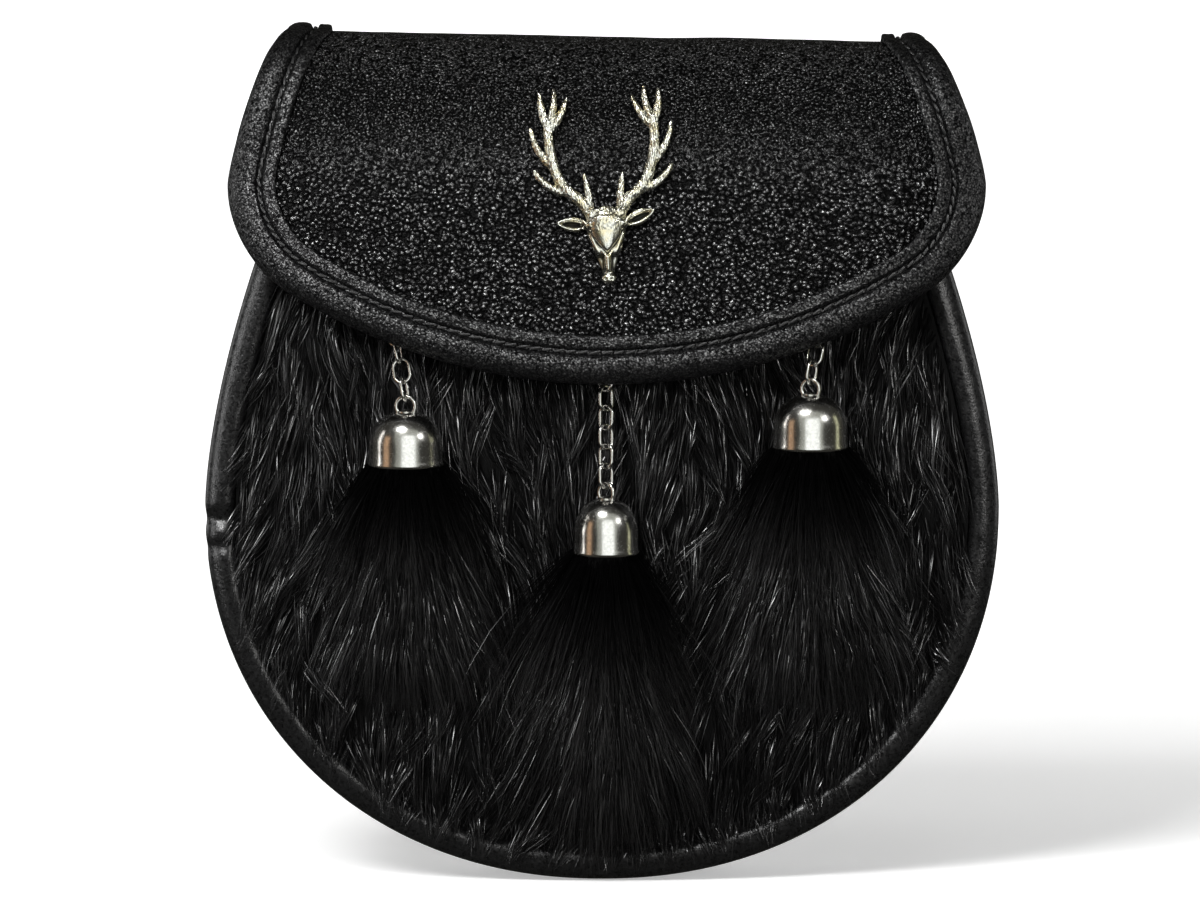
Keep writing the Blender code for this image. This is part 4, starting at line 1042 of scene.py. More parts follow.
def front_hair(name, side, look, seed):
    """Hair of one half of the front: it lies downwards in tufts that overlap."""
    random = np.random.default_rng(seed)
    count = look.front_hairs
    steps = 5
    wanted = count * 3
    across = random.uniform(0, BODY_WIDTH / 2, wanted) * side
    height = random.uniform(BODY_BOTTOM, FUR_TOP - 0.02, wanted)
    flap_arc = np.sqrt(FLAP_EDGE_RADIUS ** 2 - across ** 2)
    under_flap = FLAP_LOW + FLAP_EDGE_RADIUS - flap_arc + FUR_UNDER_FLAP
    fits = (inside_depth(across, height) > RIM_WIDTH + 0.0012) & (height < under_flap)
    across, height = across[fits][:count], height[fits][:count]
    count = len(across)
    grid_x, grid_z = np.meshgrid(np.arange(-0.004, BODY_WIDTH / 2 + 0.004, TUFT_SPACING),
                                 np.arange(BODY_BOTTOM, FUR_TOP + 0.01, TUFT_SPACING))
    tuft_x = (grid_x.ravel() + random.uniform(-0.45, 0.45, grid_x.size) * TUFT_SPACING) * side
    tuft_z = grid_z.ravel() + random.uniform(-0.45, 0.45, grid_x.size) * TUFT_SPACING
    tuft_lean = random.normal(0, 0.24, grid_x.size)
    tuft_lift = random.uniform(0.35, 1.0, grid_x.size)
    nearest = np.empty(count, int)
    for begin in range(0, count, 4000):
        some = slice(begin, begin + 4000)
        gaps = (across[some, None] - tuft_x) ** 2 + (height[some, None] - tuft_z) ** 2
        nearest[some] = gaps.argmin(axis=1)

    def flow(start_x, start_z, lean, length):
        x, z = start_x.copy(), start_z.copy()
        track = [(x.copy(), z.copy())]
        for _ in range(steps - 1):
            angle = lay_of_fur(x, z) + lean
            x = x + np.sin(angle) * length / (steps - 1)
            z = z - np.cos(angle) * length / (steps - 1)
            track.append((x.copy(), z.copy()))
        return np.array(track)

    length = look.hair_length * random.uniform(0.55, 1.15, count)
    room = np.ones(count)
    lean = tuft_lean[nearest] + random.normal(0, 0.10, count)
    trial = flow(across, height, lean, length)
    for step in range(steps):
        margin = RIM_WIDTH * random.uniform(0.35, 1.0, count)
        beyond = inside_depth(trial[step, 0], trial[step, 1]) < margin
        room = np.where(beyond & (room == 1), max(0.12, (step - 0.5) / (steps - 1)), room)
    length = length * room
    track = flow(across, height, lean, length)
    tuft_track = flow(tuft_x[nearest], tuft_z[nearest], tuft_lean[nearest], length)
    share = np.linspace(0, 1, steps)
    pull = 0.62 * share ** 1.4
    flat = track + (tuft_track - track) * pull[:, None, None]
    lift = np.sin(np.clip(share * 0.78, 0, 0.5) * math.pi) - 0.25 * np.clip(share - 0.75, 0, 1)
    base = FUR_FACE + 0.0002
    height_of = random.uniform(0.35, 1.0, count) * tuft_lift[nearest]
    proud = base + (FUR_PILE + 0.0006) * height_of[None, :] * lift[:, None]
    near_rim = np.clip((RIM_WIDTH + 0.004 - inside_depth(flat[:, 0], flat[:, 1])) / 0.006, 0, 1)
    proud = np.maximum(proud, near_rim * (RIM_HEIGHT + 0.0016) * share[:, None] ** 0.5)
    paths = np.empty((count, steps, 3))
    paths[..., 0] = flat[:, 0].T
    paths[..., 1] = (FRONT_OUTER - dome_of(flat[:, 0], flat[:, 1]) - proud).T
    paths[..., 2] = flat[:, 1].T
    widths = look.hair_width * random.uniform(0.7, 1.3, count)
    twists = random.uniform(-1.15, 1.15, count)
    # Tone varies at random per hair; raised tufts are painted lighter, and each hair is painted darker
    # towards its root, as painted light and shade in the pile.
    hair_tones_and_shade = np.clip(0.34 * tuft_lift[nearest] + random.uniform(0, 1, count) ** 2 * 0.80, 0, 1)
    hair_tones_and_shade = hair_tones_and_shade[:, None] * np.clip(0.12 + 1.5 * share, 0, 1)[None, :]
    return hair_piece(name, paths, widths, twists, hair_tones_and_shade)


def tassel_hair(row, look, seed):
    """Hair of one tassel: some of it hangs from the bell, and the rest grows along the tail and
    fans out in overlapping tufts."""
    diameter, hair, spread = row.diameter, row.hair, row.spread
    random = np.random.default_rng(seed)
    centre = bell_axis(row)
    count = look.tassel_hairs
    steps = 6
    share = np.linspace(0, 1, steps)[:, None]
    root = diameter / 2 - BELL_WALL - 0.0008

    def half(tail):
        grown = np.clip(tail / 0.62, 0, 1)
        grown = grown * grown * (3 - 2 * grown)
        return root + (spread / 2 * 0.66 - root) * grown

    hung = random.uniform(0, 1, count) < 0.30
    begin = np.where(hung, 0.0, random.uniform(0, 1, count) ** 0.85 * 0.72)
    lateral = np.clip(random.normal(0, 0.50, count), -1.05, 1.05)
    depth = random.uniform(0, 1, count) ** 0.8
    column = ((lateral + 1.1) * 7).astype(int)
    tuft = column + 16 * (begin * 9).astype(int) + 160 * (depth * 2.99).astype(int)
    own = random.normal(0, 1, (tuft.max() + 1, 3))
    middle = (column + 0.5) / 7 - 1.1 + own[tuft, 0] * 0.05
    long = np.where(hung, random.uniform(0.40, 0.72, count), random.uniform(0.22, 0.42, count)) * hair
    long = np.minimum(long, hair * (1.0 - 0.10 * lateral ** 2 + 0.05 * own[tuft, 2]) - begin * hair)
    lean = lateral * 0.50 + own[tuft, 1] * 0.12 + random.normal(0, 0.10, count)
    bend = lean * (1 - 0.45 * share) + 0.10 * np.sin(share * 4 + own[tuft, 2] * 3)
    steps_x = np.sin(bend) * long / (steps - 1)
    steps_z = np.cos(bend) * long / (steps - 1)
    run_x = np.cumsum(steps_x, axis=0) - steps_x[0]
    run_z = np.cumsum(steps_z, axis=0) - steps_z[0]
    wide = half(begin)
    x = centre.x + lateral * wide + run_x
    x = x + (middle - lateral) * wide * 0.75 * share ** 1.3
    lift = np.where(begin == 0, 0.0025, 0.0)
    z = centre.z + lift - begin * hair - run_z
    tail = np.clip((centre.z - z) / hair, 0, 1)
    surface = FRONT_OUTER - dome_of(x, z)
    round_off = np.sqrt(np.clip(1 - (0.85 * lateral) ** 2, 0.05, 1))
    proud = depth * (0.55 + 0.45 * np.sin(np.clip(share, 0, 0.8) * math.pi))
    settled = surface - PILE_FACE - 0.0005 - proud * diameter * (0.62 - 0.40 * tail) * round_off
    mouth = centre.y - (2 * depth - 1) * root * 0.95 * np.sqrt(np.clip(1 - lateral ** 2, 0, 1))
    settle = np.clip(tail * 2.2, 0, 1)
    settle = settle * settle * (3 - 2 * settle)
    y = np.minimum(mouth + (settled - mouth) * settle, surface - PILE_FACE - 0.0004)
    paths = np.stack([x.T, y.T, z.T], axis=2)
    widths = look.hair_width * random.uniform(0.65, 1.25, count)
    twists = random.uniform(-1.2, 1.2, count)
    # Tone varies at random per hair and per tuft; hairs standing further forward are painted lighter, and
    # hair is painted darker close to the bell and towards each root, as painted light and shade.
    hair_tones_and_shade = 0.80 * random.uniform(0, 1, count) ** 1.3 + 0.12 * own[tuft, 0] + 0.40 * depth
    hair_tones_and_shade = np.clip(hair_tones_and_shade, 0, 1.15)[:, None]
    hair_tones_and_shade = hair_tones_and_shade * (np.clip((tail - 0.12) * 4.0, 0.05, 1) * np.clip(0.35 + 1.6 * share, 0, 1)).T
    return hair_piece("tassel_hair_" + row.name, paths, widths, twists, hair_tones_and_shade)


# Pieces


class MakeBody(bpy.types.Operator):
    """Makes the back panel, the gusset, the front panel and the strap loop"""
    bl_idname = "sporran.make_body"
    bl_label = "Body"

    def execute(self, context):
        look = context.scene.sporran_leather
        body = leather_named(look, "body_leather_finish")
        stitch = look.stitch_pitch * 0.8
        back_top = FLAP_BACK_LOW + 0.008

        def back_place(u, v):
            point = panel_point(u, v, 0, back_top)
            swell = 0.0002 * noise.noise(Vector((point.x * 30, point.y * 30, 4.0)))
            return Vector((point.x, BACK_OUTER - 0.0001 + swell * v, point.y))

        back = laid_grid("back_panel_leather", 190, 14, back_place)
        closed_up_sheet(back, BACK_THICKNESS, 1)
        soften_edges(back, 0.0005)
        dress(back, leather_named(look, "back_leather_finish"), ["back_panel"])

        stitches = []
        sewn_top = back_top - 0.010
        for index in range(2, BACK_STITCHES - 2):
            turn = -1 + 2 * index / BACK_STITCHES
            here = body_inset(turn, BACK_STITCH_INSET, sewn_top)
            there = body_inset(turn + 0.002, BACK_STITCH_INSET, sewn_top)
            along = Vector((there.x - here.x, 0, there.y - here.y)).normalized()
            stitches.append((Vector((here.x, BACK_OUTER + 0.0001, here.y)), along, Vector((0, 1, 0))))
        sewn = stitch_line("back_stitches", stitches, stitch, look.thread)
        dress(sewn, finish_named("thread_finish", thread_finish))

        back_depth = BACK_INNER - GAP
        front_depth = FRONT_INNER + GAP

        def gusset_place(u, v):
            turn = -1 + 2 * u
            half = (v * 2) % 1.0 if v < 1 else 0.0
            outside = v < 0.5
            share = half if outside else 1 - half
            ease = math.sin(share * math.pi)
            inset = GUSSET_SETBACK + GUSSET_PLEAT * ease ** 1.5
            depth = back_depth + (front_depth - back_depth) * share
            wrinkle = noise.noise(Vector((turn * 26, share * 3, 1.0))) * 0.0006 * ease
            inset += wrinkle + (0 if outside else GUSSET_WALL)
            point = body_inset(turn, inset, FRONT_TOP)
            return Vector((point.x, depth, point.y))

        gusset = closed_up(laid_grid("gusset_leather", 260, 24, gusset_place))
        dress(gusset, body, ["gusset"])

        def front_sheet(u, v):
            point = panel_point(u, v, FRONT_SETBACK, FRONT_TOP)
            return front_place(point.x, point.y, 0)

        front = laid_grid("front_panel_leather", 160, 20, front_sheet)
        closed_up_sheet(front, FRONT_THICKNESS, -1)
        dress(front, body, ["front_panel"])

        half = LOOP_HEIGHT / 2
        foot = half - LOOP_FOOT
        near = BACK_OUTER + GAP
        far = STRAP_CHANNEL_DEPTH / 2
        blend_span = STRAP_CHANNEL_DEPTH * 0.6

        def loop_place(u, v):
            height = -half + 2 * half * v
            rise = smooth_step((foot - abs(height)) / blend_span)
            across = (u - 0.5) * LOOP_WIDTH
            return Vector((across, near + (far - near) * rise, height))

        loop = laid_grid("strap_loop_leather", 40, 60, loop_place)
        closed_up_sheet(loop, LOOP_THICKNESS, -1)
        soften_edges(loop, 0.0004)
        dress(loop, leather_named(look, "smooth_leather_finish"), ["strap_loop"])

        stitches = []
        for height in (half - 0.003, half - 0.0075, 0.003 - half, 0.0075 - half):
            for index in range(LOOP_STITCHES):
                across = (index - (LOOP_STITCHES - 1) / 2) * LOOP_STITCH_PITCH
                place = Vector((across, near + LOOP_THICKNESS, height))
                stitches.append((place, Vector((1, 0, 0)), Vector((0, 1, 0))))
        sewn = stitch_line("loop_stitches", stitches, stitch, look.thread)
        dress(sewn, finish_named("thread_finish", thread_finish))
        return {"FINISHED"}


class MakeRim(bpy.types.Operator):
    """Makes the rounded leather edge round the fur, with its small tuck on the left"""
    bl_idname = "sporran.make_rim"
    bl_label = "Rim"

    def execute(self, context):
        look = context.scene.sporran_leather
        count = len(RIM_SECTION)

        def rim_place(u, v):
            turn = -1 + 2 * u
            inset, height = RIM_SECTION[round(v * count) % count]
            near = (turn - TUCK_PLACE) * BODY_WIDTH / TUCK_LENGTH
            pinch = TUCK_DEPTH * (math.exp(-(near * 4.0) ** 2) + 0.5 * math.exp(-((near - 0.9) * 4.5) ** 2))
            soft = noise.noise(Vector((turn * 34, inset * 1.5, 0.5))) * 0.00016
            fine = noise.noise(Vector((turn * 150, inset * 3, 2.5))) * 0.00003
            tall = (RIM_HEIGHT - pinch + soft + fine) * height
            inset_size = inset * RIM_WIDTH * (1 + 0.04 * noise.noise(Vector((turn * 12, 0, 7))))
            inset_size += pinch * 0.35 * (1 - inset)
            point = body_inset(turn, inset_size, FRONT_TOP)
            return front_place(point.x, point.y, GAP + tall)

        rim = closed_up(laid_grid("rim_leather", 900, count, rim_place))
        dress(rim, leather_named(look, "body_leather_finish"), ["front_rim"], 50)
        return {"FINISHED"}


class MakeFur(bpy.types.Operator):
    """Makes the fur of the front: its base and its hair"""
    bl_idname = "sporran.make_fur"
    bl_label = "Front fur"

    def execute(self, context):
        look = context.scene.sporran_fur

        def skin_place(u, v):
            point = panel_point(u, v, RIM_WIDTH + GAP, FUR_TOP)
            lump = 0.0009 * noise.noise(Vector((point.x * 150, point.y * 60, 3.0)))
            inner = smooth_step(v / 0.08)
            return front_place(point.x, point.y, FUR_FACE + (0.0009 + lump) * inner)

        base = closed_up_sheet(laid_grid("fur_base", 140, 30, skin_place), FUR_BACKING, -1)
        dress(base, finish_named("fur_base_shade_finish", skin_finish, look), ["fur_panel"])
        finish = fur_finish(look, "front_hair_finish", 2.4, 0.30)
        for name, side, seed in (("front_hair_left", -1, 11), ("front_hair_right", 1, 12)):
            dress(front_hair(name, side, look, seed), finish, smooth=180)
        return {"FINISHED"}


class MakeFlap(bpy.types.Operator):
    """Makes the grained leather flap"""
    bl_idname = "sporran.make_flap"
    bl_label = "Flap"

    def execute(self, context):
        look = context.scene.sporran_leather
        low_run = FLAP_LENGTH - 0.0016
        inset = 0.0008

        def place(u, v):
            run = v * low_run
            across = (2 * u - 1) * (flap_half(run) - inset)
            soft = 0.00035 * noise.noise(Vector((across * 32, run * 32, 1.3)))
            soft += 0.00012 * noise.noise(Vector((across * 110, run * 110, 5.3)))
            return flap_place(across, run, soft)

        flap = laid_grid("flap_leather", 164, 112, place)
        closed_up_sheet(flap, FLAP_THICKNESS, -1)
        finish = finish_named("grained_leather_finish", grained_leather, look)
        dress(flap, finish, ["flap"], 60)
        return {"FINISHED"}


class MakeBinding(bpy.types.Operator):
    """Makes the smooth strip round the flap's edge, and its stitches"""
    bl_idname = "sporran.make_binding"
    bl_label = "Flap binding"

    def execute(self, context):
        look = context.scene.sporran_leather
        thick = BINDING_THICKNESS
        under = -FLAP_THICKNESS - BINDING_GAP
        section = []
        for inset, height in BINDING_FACE:
            section.append((BINDING_WIDTH * inset, BINDING_GAP + thick * height))
        section += [
            (-BINDING_GAP - thick * 0.75, under * 0.20),
            (-BINDING_GAP - thick, under * 0.5),
            (-BINDING_GAP - thick * 0.9, under * 0.85),
            (-BINDING_GAP - thick * 0.4, under - thick * 0.7),
            (0.0004, under - thick),
            (BINDING_FOLD, under - thick * 0.9),
            (BINDING_FOLD, under),
            (-BINDING_GAP, under),
            (-BINDING_GAP, BINDING_GAP * 0.5),
        ]
        count = len(section)

        def place(u, v):
            turn = -1 + 2 * u
            inset, height = section[round(v * count) % count]
            ripple = 0.00007 * noise.noise(Vector((turn * 60, inset * 900, 0.7)))
            ripple += 0.00012 * noise.noise(Vector((turn * 19, inset * 200, 3.7)))
            ripple += 0.00010 * noise.noise(Vector((turn * 190, inset * 130, 9.7)))
            point = flap_inset(turn, inset + (ripple if 0.001 < inset < 0.0103 else 0))
            return flap_place(point.x, point.y, height + (ripple if height > 0.0006 else 0))

        strip = closed_up(laid_grid("flap_binding_leather", 900, count, place))
        finish = leather_named(look, "smooth_leather_finish")
        dress(strip, finish, ["flap_binding"], 50)

        stitches = []
        total = int(2 * flap_edge_length() / look.stitch_pitch)
        inset = BINDING_WIDTH * 0.60
        span = 1.0 / total
        slant = 0.00030
        height = BINDING_GAP + thick * 0.35
        for index in range(2, total - 1):
            turn = -1 + 2 * index / total
            start = flap_inset(turn - span * 0.8, inset - slant)
            end = flap_inset(turn + span * 0.8, inset + slant)
            first = flap_place(start.x, start.y, height)
            last = flap_place(end.x, end.y, height)
            middle = (first + last) / 2
            above = flap_place((start.x + end.x) / 2, (start.y + end.y) / 2, height + 0.001)
            out = (above - middle).normalized()
            stitches.append((middle, (last - first).normalized(), out))
        sewn = stitch_line("flap_stitches", stitches, look.stitch_pitch * 0.82, look.thread)
        dress(sewn, finish_named("thread_finish", thread_finish))
        return {"FINISHED"}


def badge_flat(side, rise, proud):
    """Point of the badge laid flat, from shares of its height and its height off the flap."""
    return Vector((side * BADGE_HEIGHT, rise * BADGE_HEIGHT, proud))


def badge_on_flap(co):
    """Moves a point of the flat badge onto the flap."""
    x = co.x * math.cos(BADGE_TURN) - co.y * math.sin(BADGE_TURN)
    y = co.x * math.sin(BADGE_TURN) + co.y * math.cos(BADGE_TURN)
    return flap_place(x + BADGE_SIDE, run_at_height(BADGE_LOW) - y, GAP + co.z)


def lump(name, middle, size):
    """A rounded lump of the badge at a flat place, sized along its three directions."""
    deselect()
    bpy.ops.mesh.primitive_uv_sphere_add(segments=24, ring_count=16, radius=1, location=middle)
    bpy.ops.transform.resize(value=size)
    return named(name)


def horn(name, points, mirror, radius, lift):
    """A horn of the badge through its points, rounded to a blunt tip."""
    rows = []
    for index in range(len(points) - 1):
        before = points[max(0, index - 1)]
        after = points[min(len(points) - 1, index + 2)]
        for step in range(4):
            corners = zip(before, points[index], points[index + 1], after)
            rows.append([spline(*corner, step / 4) for corner in corners])
    rows.append(points[-1])
    path = [badge_flat(side * mirror, rise, lift) for side, rise, _ in rows]
    return tube(name, path, [radius * share for _, _, share in rows], 12)


class MakeBadge(bpy.types.Operator):
    """Makes the cast stag's head with its antlers"""
    bl_idname = "sporran.make_badge"
    bl_label = "Stag's head badge"

    def execute(self, context):
        look = context.scene.sporran_metal
        radius = look.antler_radius
        parts = []
        rings = []
        for rise, half, tall in HEAD_SECTIONS:
            ring = []
            for index in range(20):
                angle = math.pi * index / 19
                side = math.cos(angle)
                up = math.sin(angle)
                side = math.copysign(abs(side) ** 0.8, side)
                snout = max(0.0, 1 - abs(rise - 0.14) / 0.13)
                cheek = 0.22 * snout * max(0.0, 1 - abs(abs(side) - 0.55) / 0.3)
                proud = 0.0003 + BADGE_RELIEF * tall * up ** 0.8 * (1 - cheek)
                ring.append(badge_flat(half * side, rise, proud))
            rings.append(ring)

        def head_place(u, v):
            ring = rings[round(v * (len(rings) - 1))]
            return ring[round(u * 19)]

        head = laid_grid("head", 19, len(rings) - 1, head_place)
        parts.append(closed_up(head))
        for mirror in (-1, 1):
            brow = badge_flat(0.074 * mirror, 0.300, BADGE_RELIEF * 0.70)
            parts.append(lump("brow", brow, (0.0012, 0.0010, 0.0008)))
            burr = badge_flat(0.068 * mirror, 0.352, BADGE_RELIEF * 0.60)
            parts.append(lump("burr", burr, (0.00150, 0.0011, 0.0013)))
            for index in range(5):
                angle = index * 1.3 + 0.4
                place = badge_flat(0.068 * mirror, 0.362, BADGE_RELIEF * 0.60)
                place += Vector((math.cos(angle) * 0.0013, math.sin(angle) * 0.0009, 0.0006))
                parts.append(lump("burr_bump", place, (0.00055, 0.00055, 0.0006)))
            parts.append(horn("beam", ANTLER_BEAM, mirror, radius, radius * 1.05))
            for tine in ANTLER_TINES:
                parts.append(horn("tine", tine, mirror, radius, radius * 0.95))
            parts.append(self.ear(mirror))
        nose = badge_flat(0, 0.028, BADGE_RELIEF * 0.50)
        parts.append(lump("nose", nose, (0.00185, 0.0013, 0.0010)))
        crown = badge_flat(0, 0.352, BADGE_RELIEF * 0.62)
        parts.append(lump("crown", crown, (0.0021, 0.0021, 0.0012)))
        badge = join("stag_badge_cast", parts)
        apply_modifier(badge, "REMESH", mode="VOXEL", voxel_size=0.00017)
        apply_modifier(badge, "SMOOTH", factor=0.5, iterations=3)
        self.carve(badge.data)
        self.note_recesses(badge.data)
        apply_modifier(badge, "DECIMATE", ratio=0.60)
        for vert in badge.data.vertices:
            vert.co.z = max(vert.co.z, 0.0)
            vert.co = badge_on_flap(vert.co)
        dress(badge, silver_finish(look), ["stag_badge"], 180)
        return {"FINISHED"}

    @staticmethod
    def ear(mirror):
        """A pointed ear: a thick leaf, hollowed later."""
        rise = EAR_RISE[mirror > 0]

        def place(u, v):
            width = max(0.04, math.sin(min(1.0, v * 0.97 + 0.06) * math.pi) ** 0.75) * 0.039
            angle = u * 2 * math.pi
            base = Vector((0.092 + 0.160 * v, 0.300 + rise * v))
            tilt = Vector((-rise / 0.16, 1)).normalized()
            point = base + tilt * width * math.cos(angle)
            return badge_flat(point.x * mirror, point.y, 0.0013 + 0.0008 * math.sin(angle))
        return closed_up(laid_grid("ear", 24, 22, place))

    @staticmethod
    def carve(mesh):
        """Cuts the eyes, nostrils, ears' hollows, snout's grooves and the antlers' bark."""
        normals = [v.normal.copy() for v in mesh.vertices]
        for vert, normal in zip(mesh.vertices, normals):
            co = vert.co
            if co.z < 0.0003:
                continue
            side = abs(co.x) / BADGE_HEIGHT
            rise = co.y / BADGE_HEIGHT
            cut = 0.0
            lower = 1.0
            front = max(0.0, normal.z)
            nostril = math.hypot((side - 0.0165) / 0.0080, (rise - 0.024) / 0.0075)
            cut += 0.00070 * max(0.0, 1 - nostril ** 2)
            if side < 0.13 and 0.05 < rise < 0.37:
                valley = rise - (0.150 + 0.80 * side + 5.0 * side * side)
                cut += 0.00062 * math.exp(-(valley / 0.0085) ** 2) * front
                cut -= 0.00030 * smooth_step(valley / 0.03) * smooth_step((0.350 - rise) / 0.02) * front
                cheek = math.exp(-((valley + 0.030) / 0.012) ** 2) * smooth_step((side - 0.03) / 0.02)
                cut -= 0.00022 * cheek * front
                jaw = math.exp(-((valley + 0.055) / 0.010) ** 2)
                cut += 0.00040 * jaw * smooth_step((side - 0.045) / 0.02)
                snout = smooth_step((rise - 0.055) / 0.02) * smooth_step((0.155 - rise) / 0.02)
                cut -= 0.00045 * snout * math.exp(-(side / 0.0105) ** 2) * front
                lower = 1 - 0.55 * snout * smooth_step((side - 0.014) / 0.010)
                eye = math.hypot((side - 0.086) / 0.012, (rise - 0.268) / 0.009)
                cut += 0.00045 * max(0.0, 1 - abs(eye - 1.0) / 0.5) * smooth_step((side - 0.06) / 0.02)
            ear_side = (side - 0.098) / 0.155
            if 0.10 < ear_side < 0.93 and rise < 0.42 and side > 0.11:
                middle = 0.300 + EAR_RISE[co.x > 0] * ear_side
                wide = 0.0225 * math.sin(min(1.0, ear_side * 1.02 + 0.02) * math.pi) ** 0.7
                cut += 0.00155 * max(0.0, 1 - ((rise - middle) / max(0.003, wide)) ** 4) * front
            if rise > 0.36 or side > 0.26:
                bark = noise.noise(Vector((co.x * 2800, co.y * 700, co.z * 2800)))
                bark += 0.6 * noise.noise(Vector((co.x * 5200, co.y * 2600, 3.0)))
                cut += 0.00024 * bark
            elif 0.27 < rise and side < 0.07:
                tuft = noise.noise(Vector((co.x * 3600, co.y * 1500, 8.0)))
                cut += 0.00016 * tuft * front
            vert.co = co - normal * cut
            vert.co.z *= lower

    @staticmethod
    def note_recesses(mesh):
        """Keeps how hollow the surface is at each point, for the finish."""
        bm = bmesh.new()
        bm.from_mesh(mesh)
        bm.normal_update()
        hollow = np.zeros(len(bm.verts))
        for vert in bm.verts:
            lean = 0.0
            for edge in vert.link_edges:
                away = edge.other_vert(vert).co - vert.co
                lean += away.dot(vert.normal) / max(1e-9, away.length)
            hollow[vert.index] = lean / max(1, len(vert.link_edges))
        links = [[edge.other_vert(vert).index for edge in vert.link_edges] for vert in bm.verts]
        for _ in range(3):
            hollow = np.array([0.4 * hollow[i] + 0.6 * hollow[near].mean() for i, near in enumerate(links)])
        low = np.array([0.80 * max(0.0, 1 - v.co.z / 0.0013) for v in bm.verts])
        bm.free()
        value = np.clip(0.20 + hollow * 3.6 + low, 0, 1)
        kept = mesh.attributes.new("recess", "FLOAT", "POINT")
        kept.data.foreach_set("value", value.astype(np.float32))


def bell_profile(radius, tall):
    """Radius and height of the bell, from inside its crown, down to the lip and up outside."""
    inner = radius - BELL_WALL
    rows = [
        (0.0006, tall * 0.90 - BELL_WALL),
        (inner * 0.5, tall * 0.88 - BELL_WALL),
        (inner * 0.8, tall * 0.72 - BELL_WALL),
        (inner, tall * 0.36),
        (inner, 0.0003),
        (inner + 0.0002, 0.0),
        (radius - 0.0001, 0.0),
        (radius + BELL_LIP * 0.5, 0.0003),
        (radius + BELL_LIP * 0.6, 0.0007),
        (radius + 0.0001, 0.0012),
        (radius, 0.0018),
        (radius, tall * 0.30),
        (radius * 0.997, tall * 0.38),
    ]
    for step in range(1, 14):
        angle = math.pi / 2 * step / 13.4
        rows.append((radius * math.cos(angle) ** 0.82, tall * (0.38 + 0.61 * math.sin(angle))))
    rows.append((0.0004, tall * 0.995))
    return rows


class MakeBells(bpy.types.Operator):
    """Makes the three bells, each with the eye on its crown"""
    bl_idname = "sporran.make_bells"
    bl_label = "Bells"

    def execute(self, context):
        look = context.scene.sporran_metal
        finish = finish_named("chrome_finish", chrome_finish, look)
        for row in TASSELS:
            centre = bell_axis(row)
            cap = turned("cap", centre, bell_profile(row.diameter / 2, row.tall), 72)
            deselect()
            bpy.ops.mesh.primitive_torus_add(
                major_segments=36, minor_segments=12, major_radius=(EYE_DIAMETER - EYE_WIRE) / 2,
                minor_radius=EYE_WIRE / 2, location=centre + Vector((0, 0, row.tall + EYE_RISE)),
                rotation=(math.pi / 2, 0, math.radians(row.angle + 90)))
            eye = named("eye")
            collar = turned("collar", centre + Vector((0, 0, row.tall * 0.97)), COLLAR_PROFILE, 32)
            bell = join("bell_plated_" + row.name, [cap, eye, collar])
            dress(bell, finish, ["bell_" + row.name], 40)
        return {"FINISHED"}


def chain_line(row):
    """Lowest wire middle of a tassel's chain, and the chain's direction."""
    start = bell_axis(row) + Vector((0, 0, row.tall + EYE_RISE + (EYE_DIAMETER - EYE_WIRE) / 2))
    pitch = LINK_LENGTH - 2 * LINK_WIRE - GAP
    length = row.links * pitch + LINK_WIRE + GAP + (STAPLE_WIRE - EYE_WIRE) / 2
    proud = FUR_FACE + GAP + STAPLE_PLATE + LINK_WIDTH / 2 + LINK_WIRE * 2
    forward = (front_place(row.side, start.z + length, proud).y - start.y) / length
    return start, Vector((row.lean, forward, 1)).normalized()


class MakeChains(bpy.types.Operator):
    """Makes the chains' links, and finishes the staples and the stud"""
    bl_idname = "sporran.make_chains"
    bl_label = "Chains"

    def execute(self, context):
        look = context.scene.sporran_metal
        finish = finish_named("chrome_finish", chrome_finish, look)
        bend = (LINK_WIDTH - LINK_WIRE) / 2
        reach = LINK_LENGTH - LINK_WIRE
        pitch = reach - LINK_WIRE - GAP
        straight = reach / 2 - bend
        for row in TASSELS:
            start, direction = chain_line(row)
            centre = start + direction * (reach / 2 - (EYE_WIRE + LINK_WIRE) / 2 - GAP)
            for index in range(row.links):
                angle = math.radians(row.angle + 90 * (index % 2))
                face = Vector((math.cos(angle), math.sin(angle), 0))
                wide = (face - direction * face.dot(direction)).normalized()
                across = wide.cross(direction)
                deselect()
                bpy.ops.mesh.primitive_torus_add(
                    major_segments=32, minor_segments=10, major_radius=bend, minor_radius=LINK_WIRE / 2)
                link = named(f"chain_{row.name}_{index + 1}")
                turn = Matrix((wide, direction, across)).transposed()
                for vert in link.data.vertices:
                    local = vert.co.copy()
                    local.y += math.copysign(straight, local.y)
                    vert.co = centre + turn @ local
                dress(link, finish, [f"link_{row.name}_{index + 1}"], 60)
                centre = centre + direction * pitch
            self.plate(frame["nodes"]["chain_staple_" + row.name], finish)
        self.plate(frame["nodes"]["closure_stud"], finish)
        return {"FINISHED"}

    @staticmethod
    def plate(node, finish):
        """Gives a hidden metal piece of the frame its finish."""
        node.data.materials.clear()
        node.data.materials.append(finish)


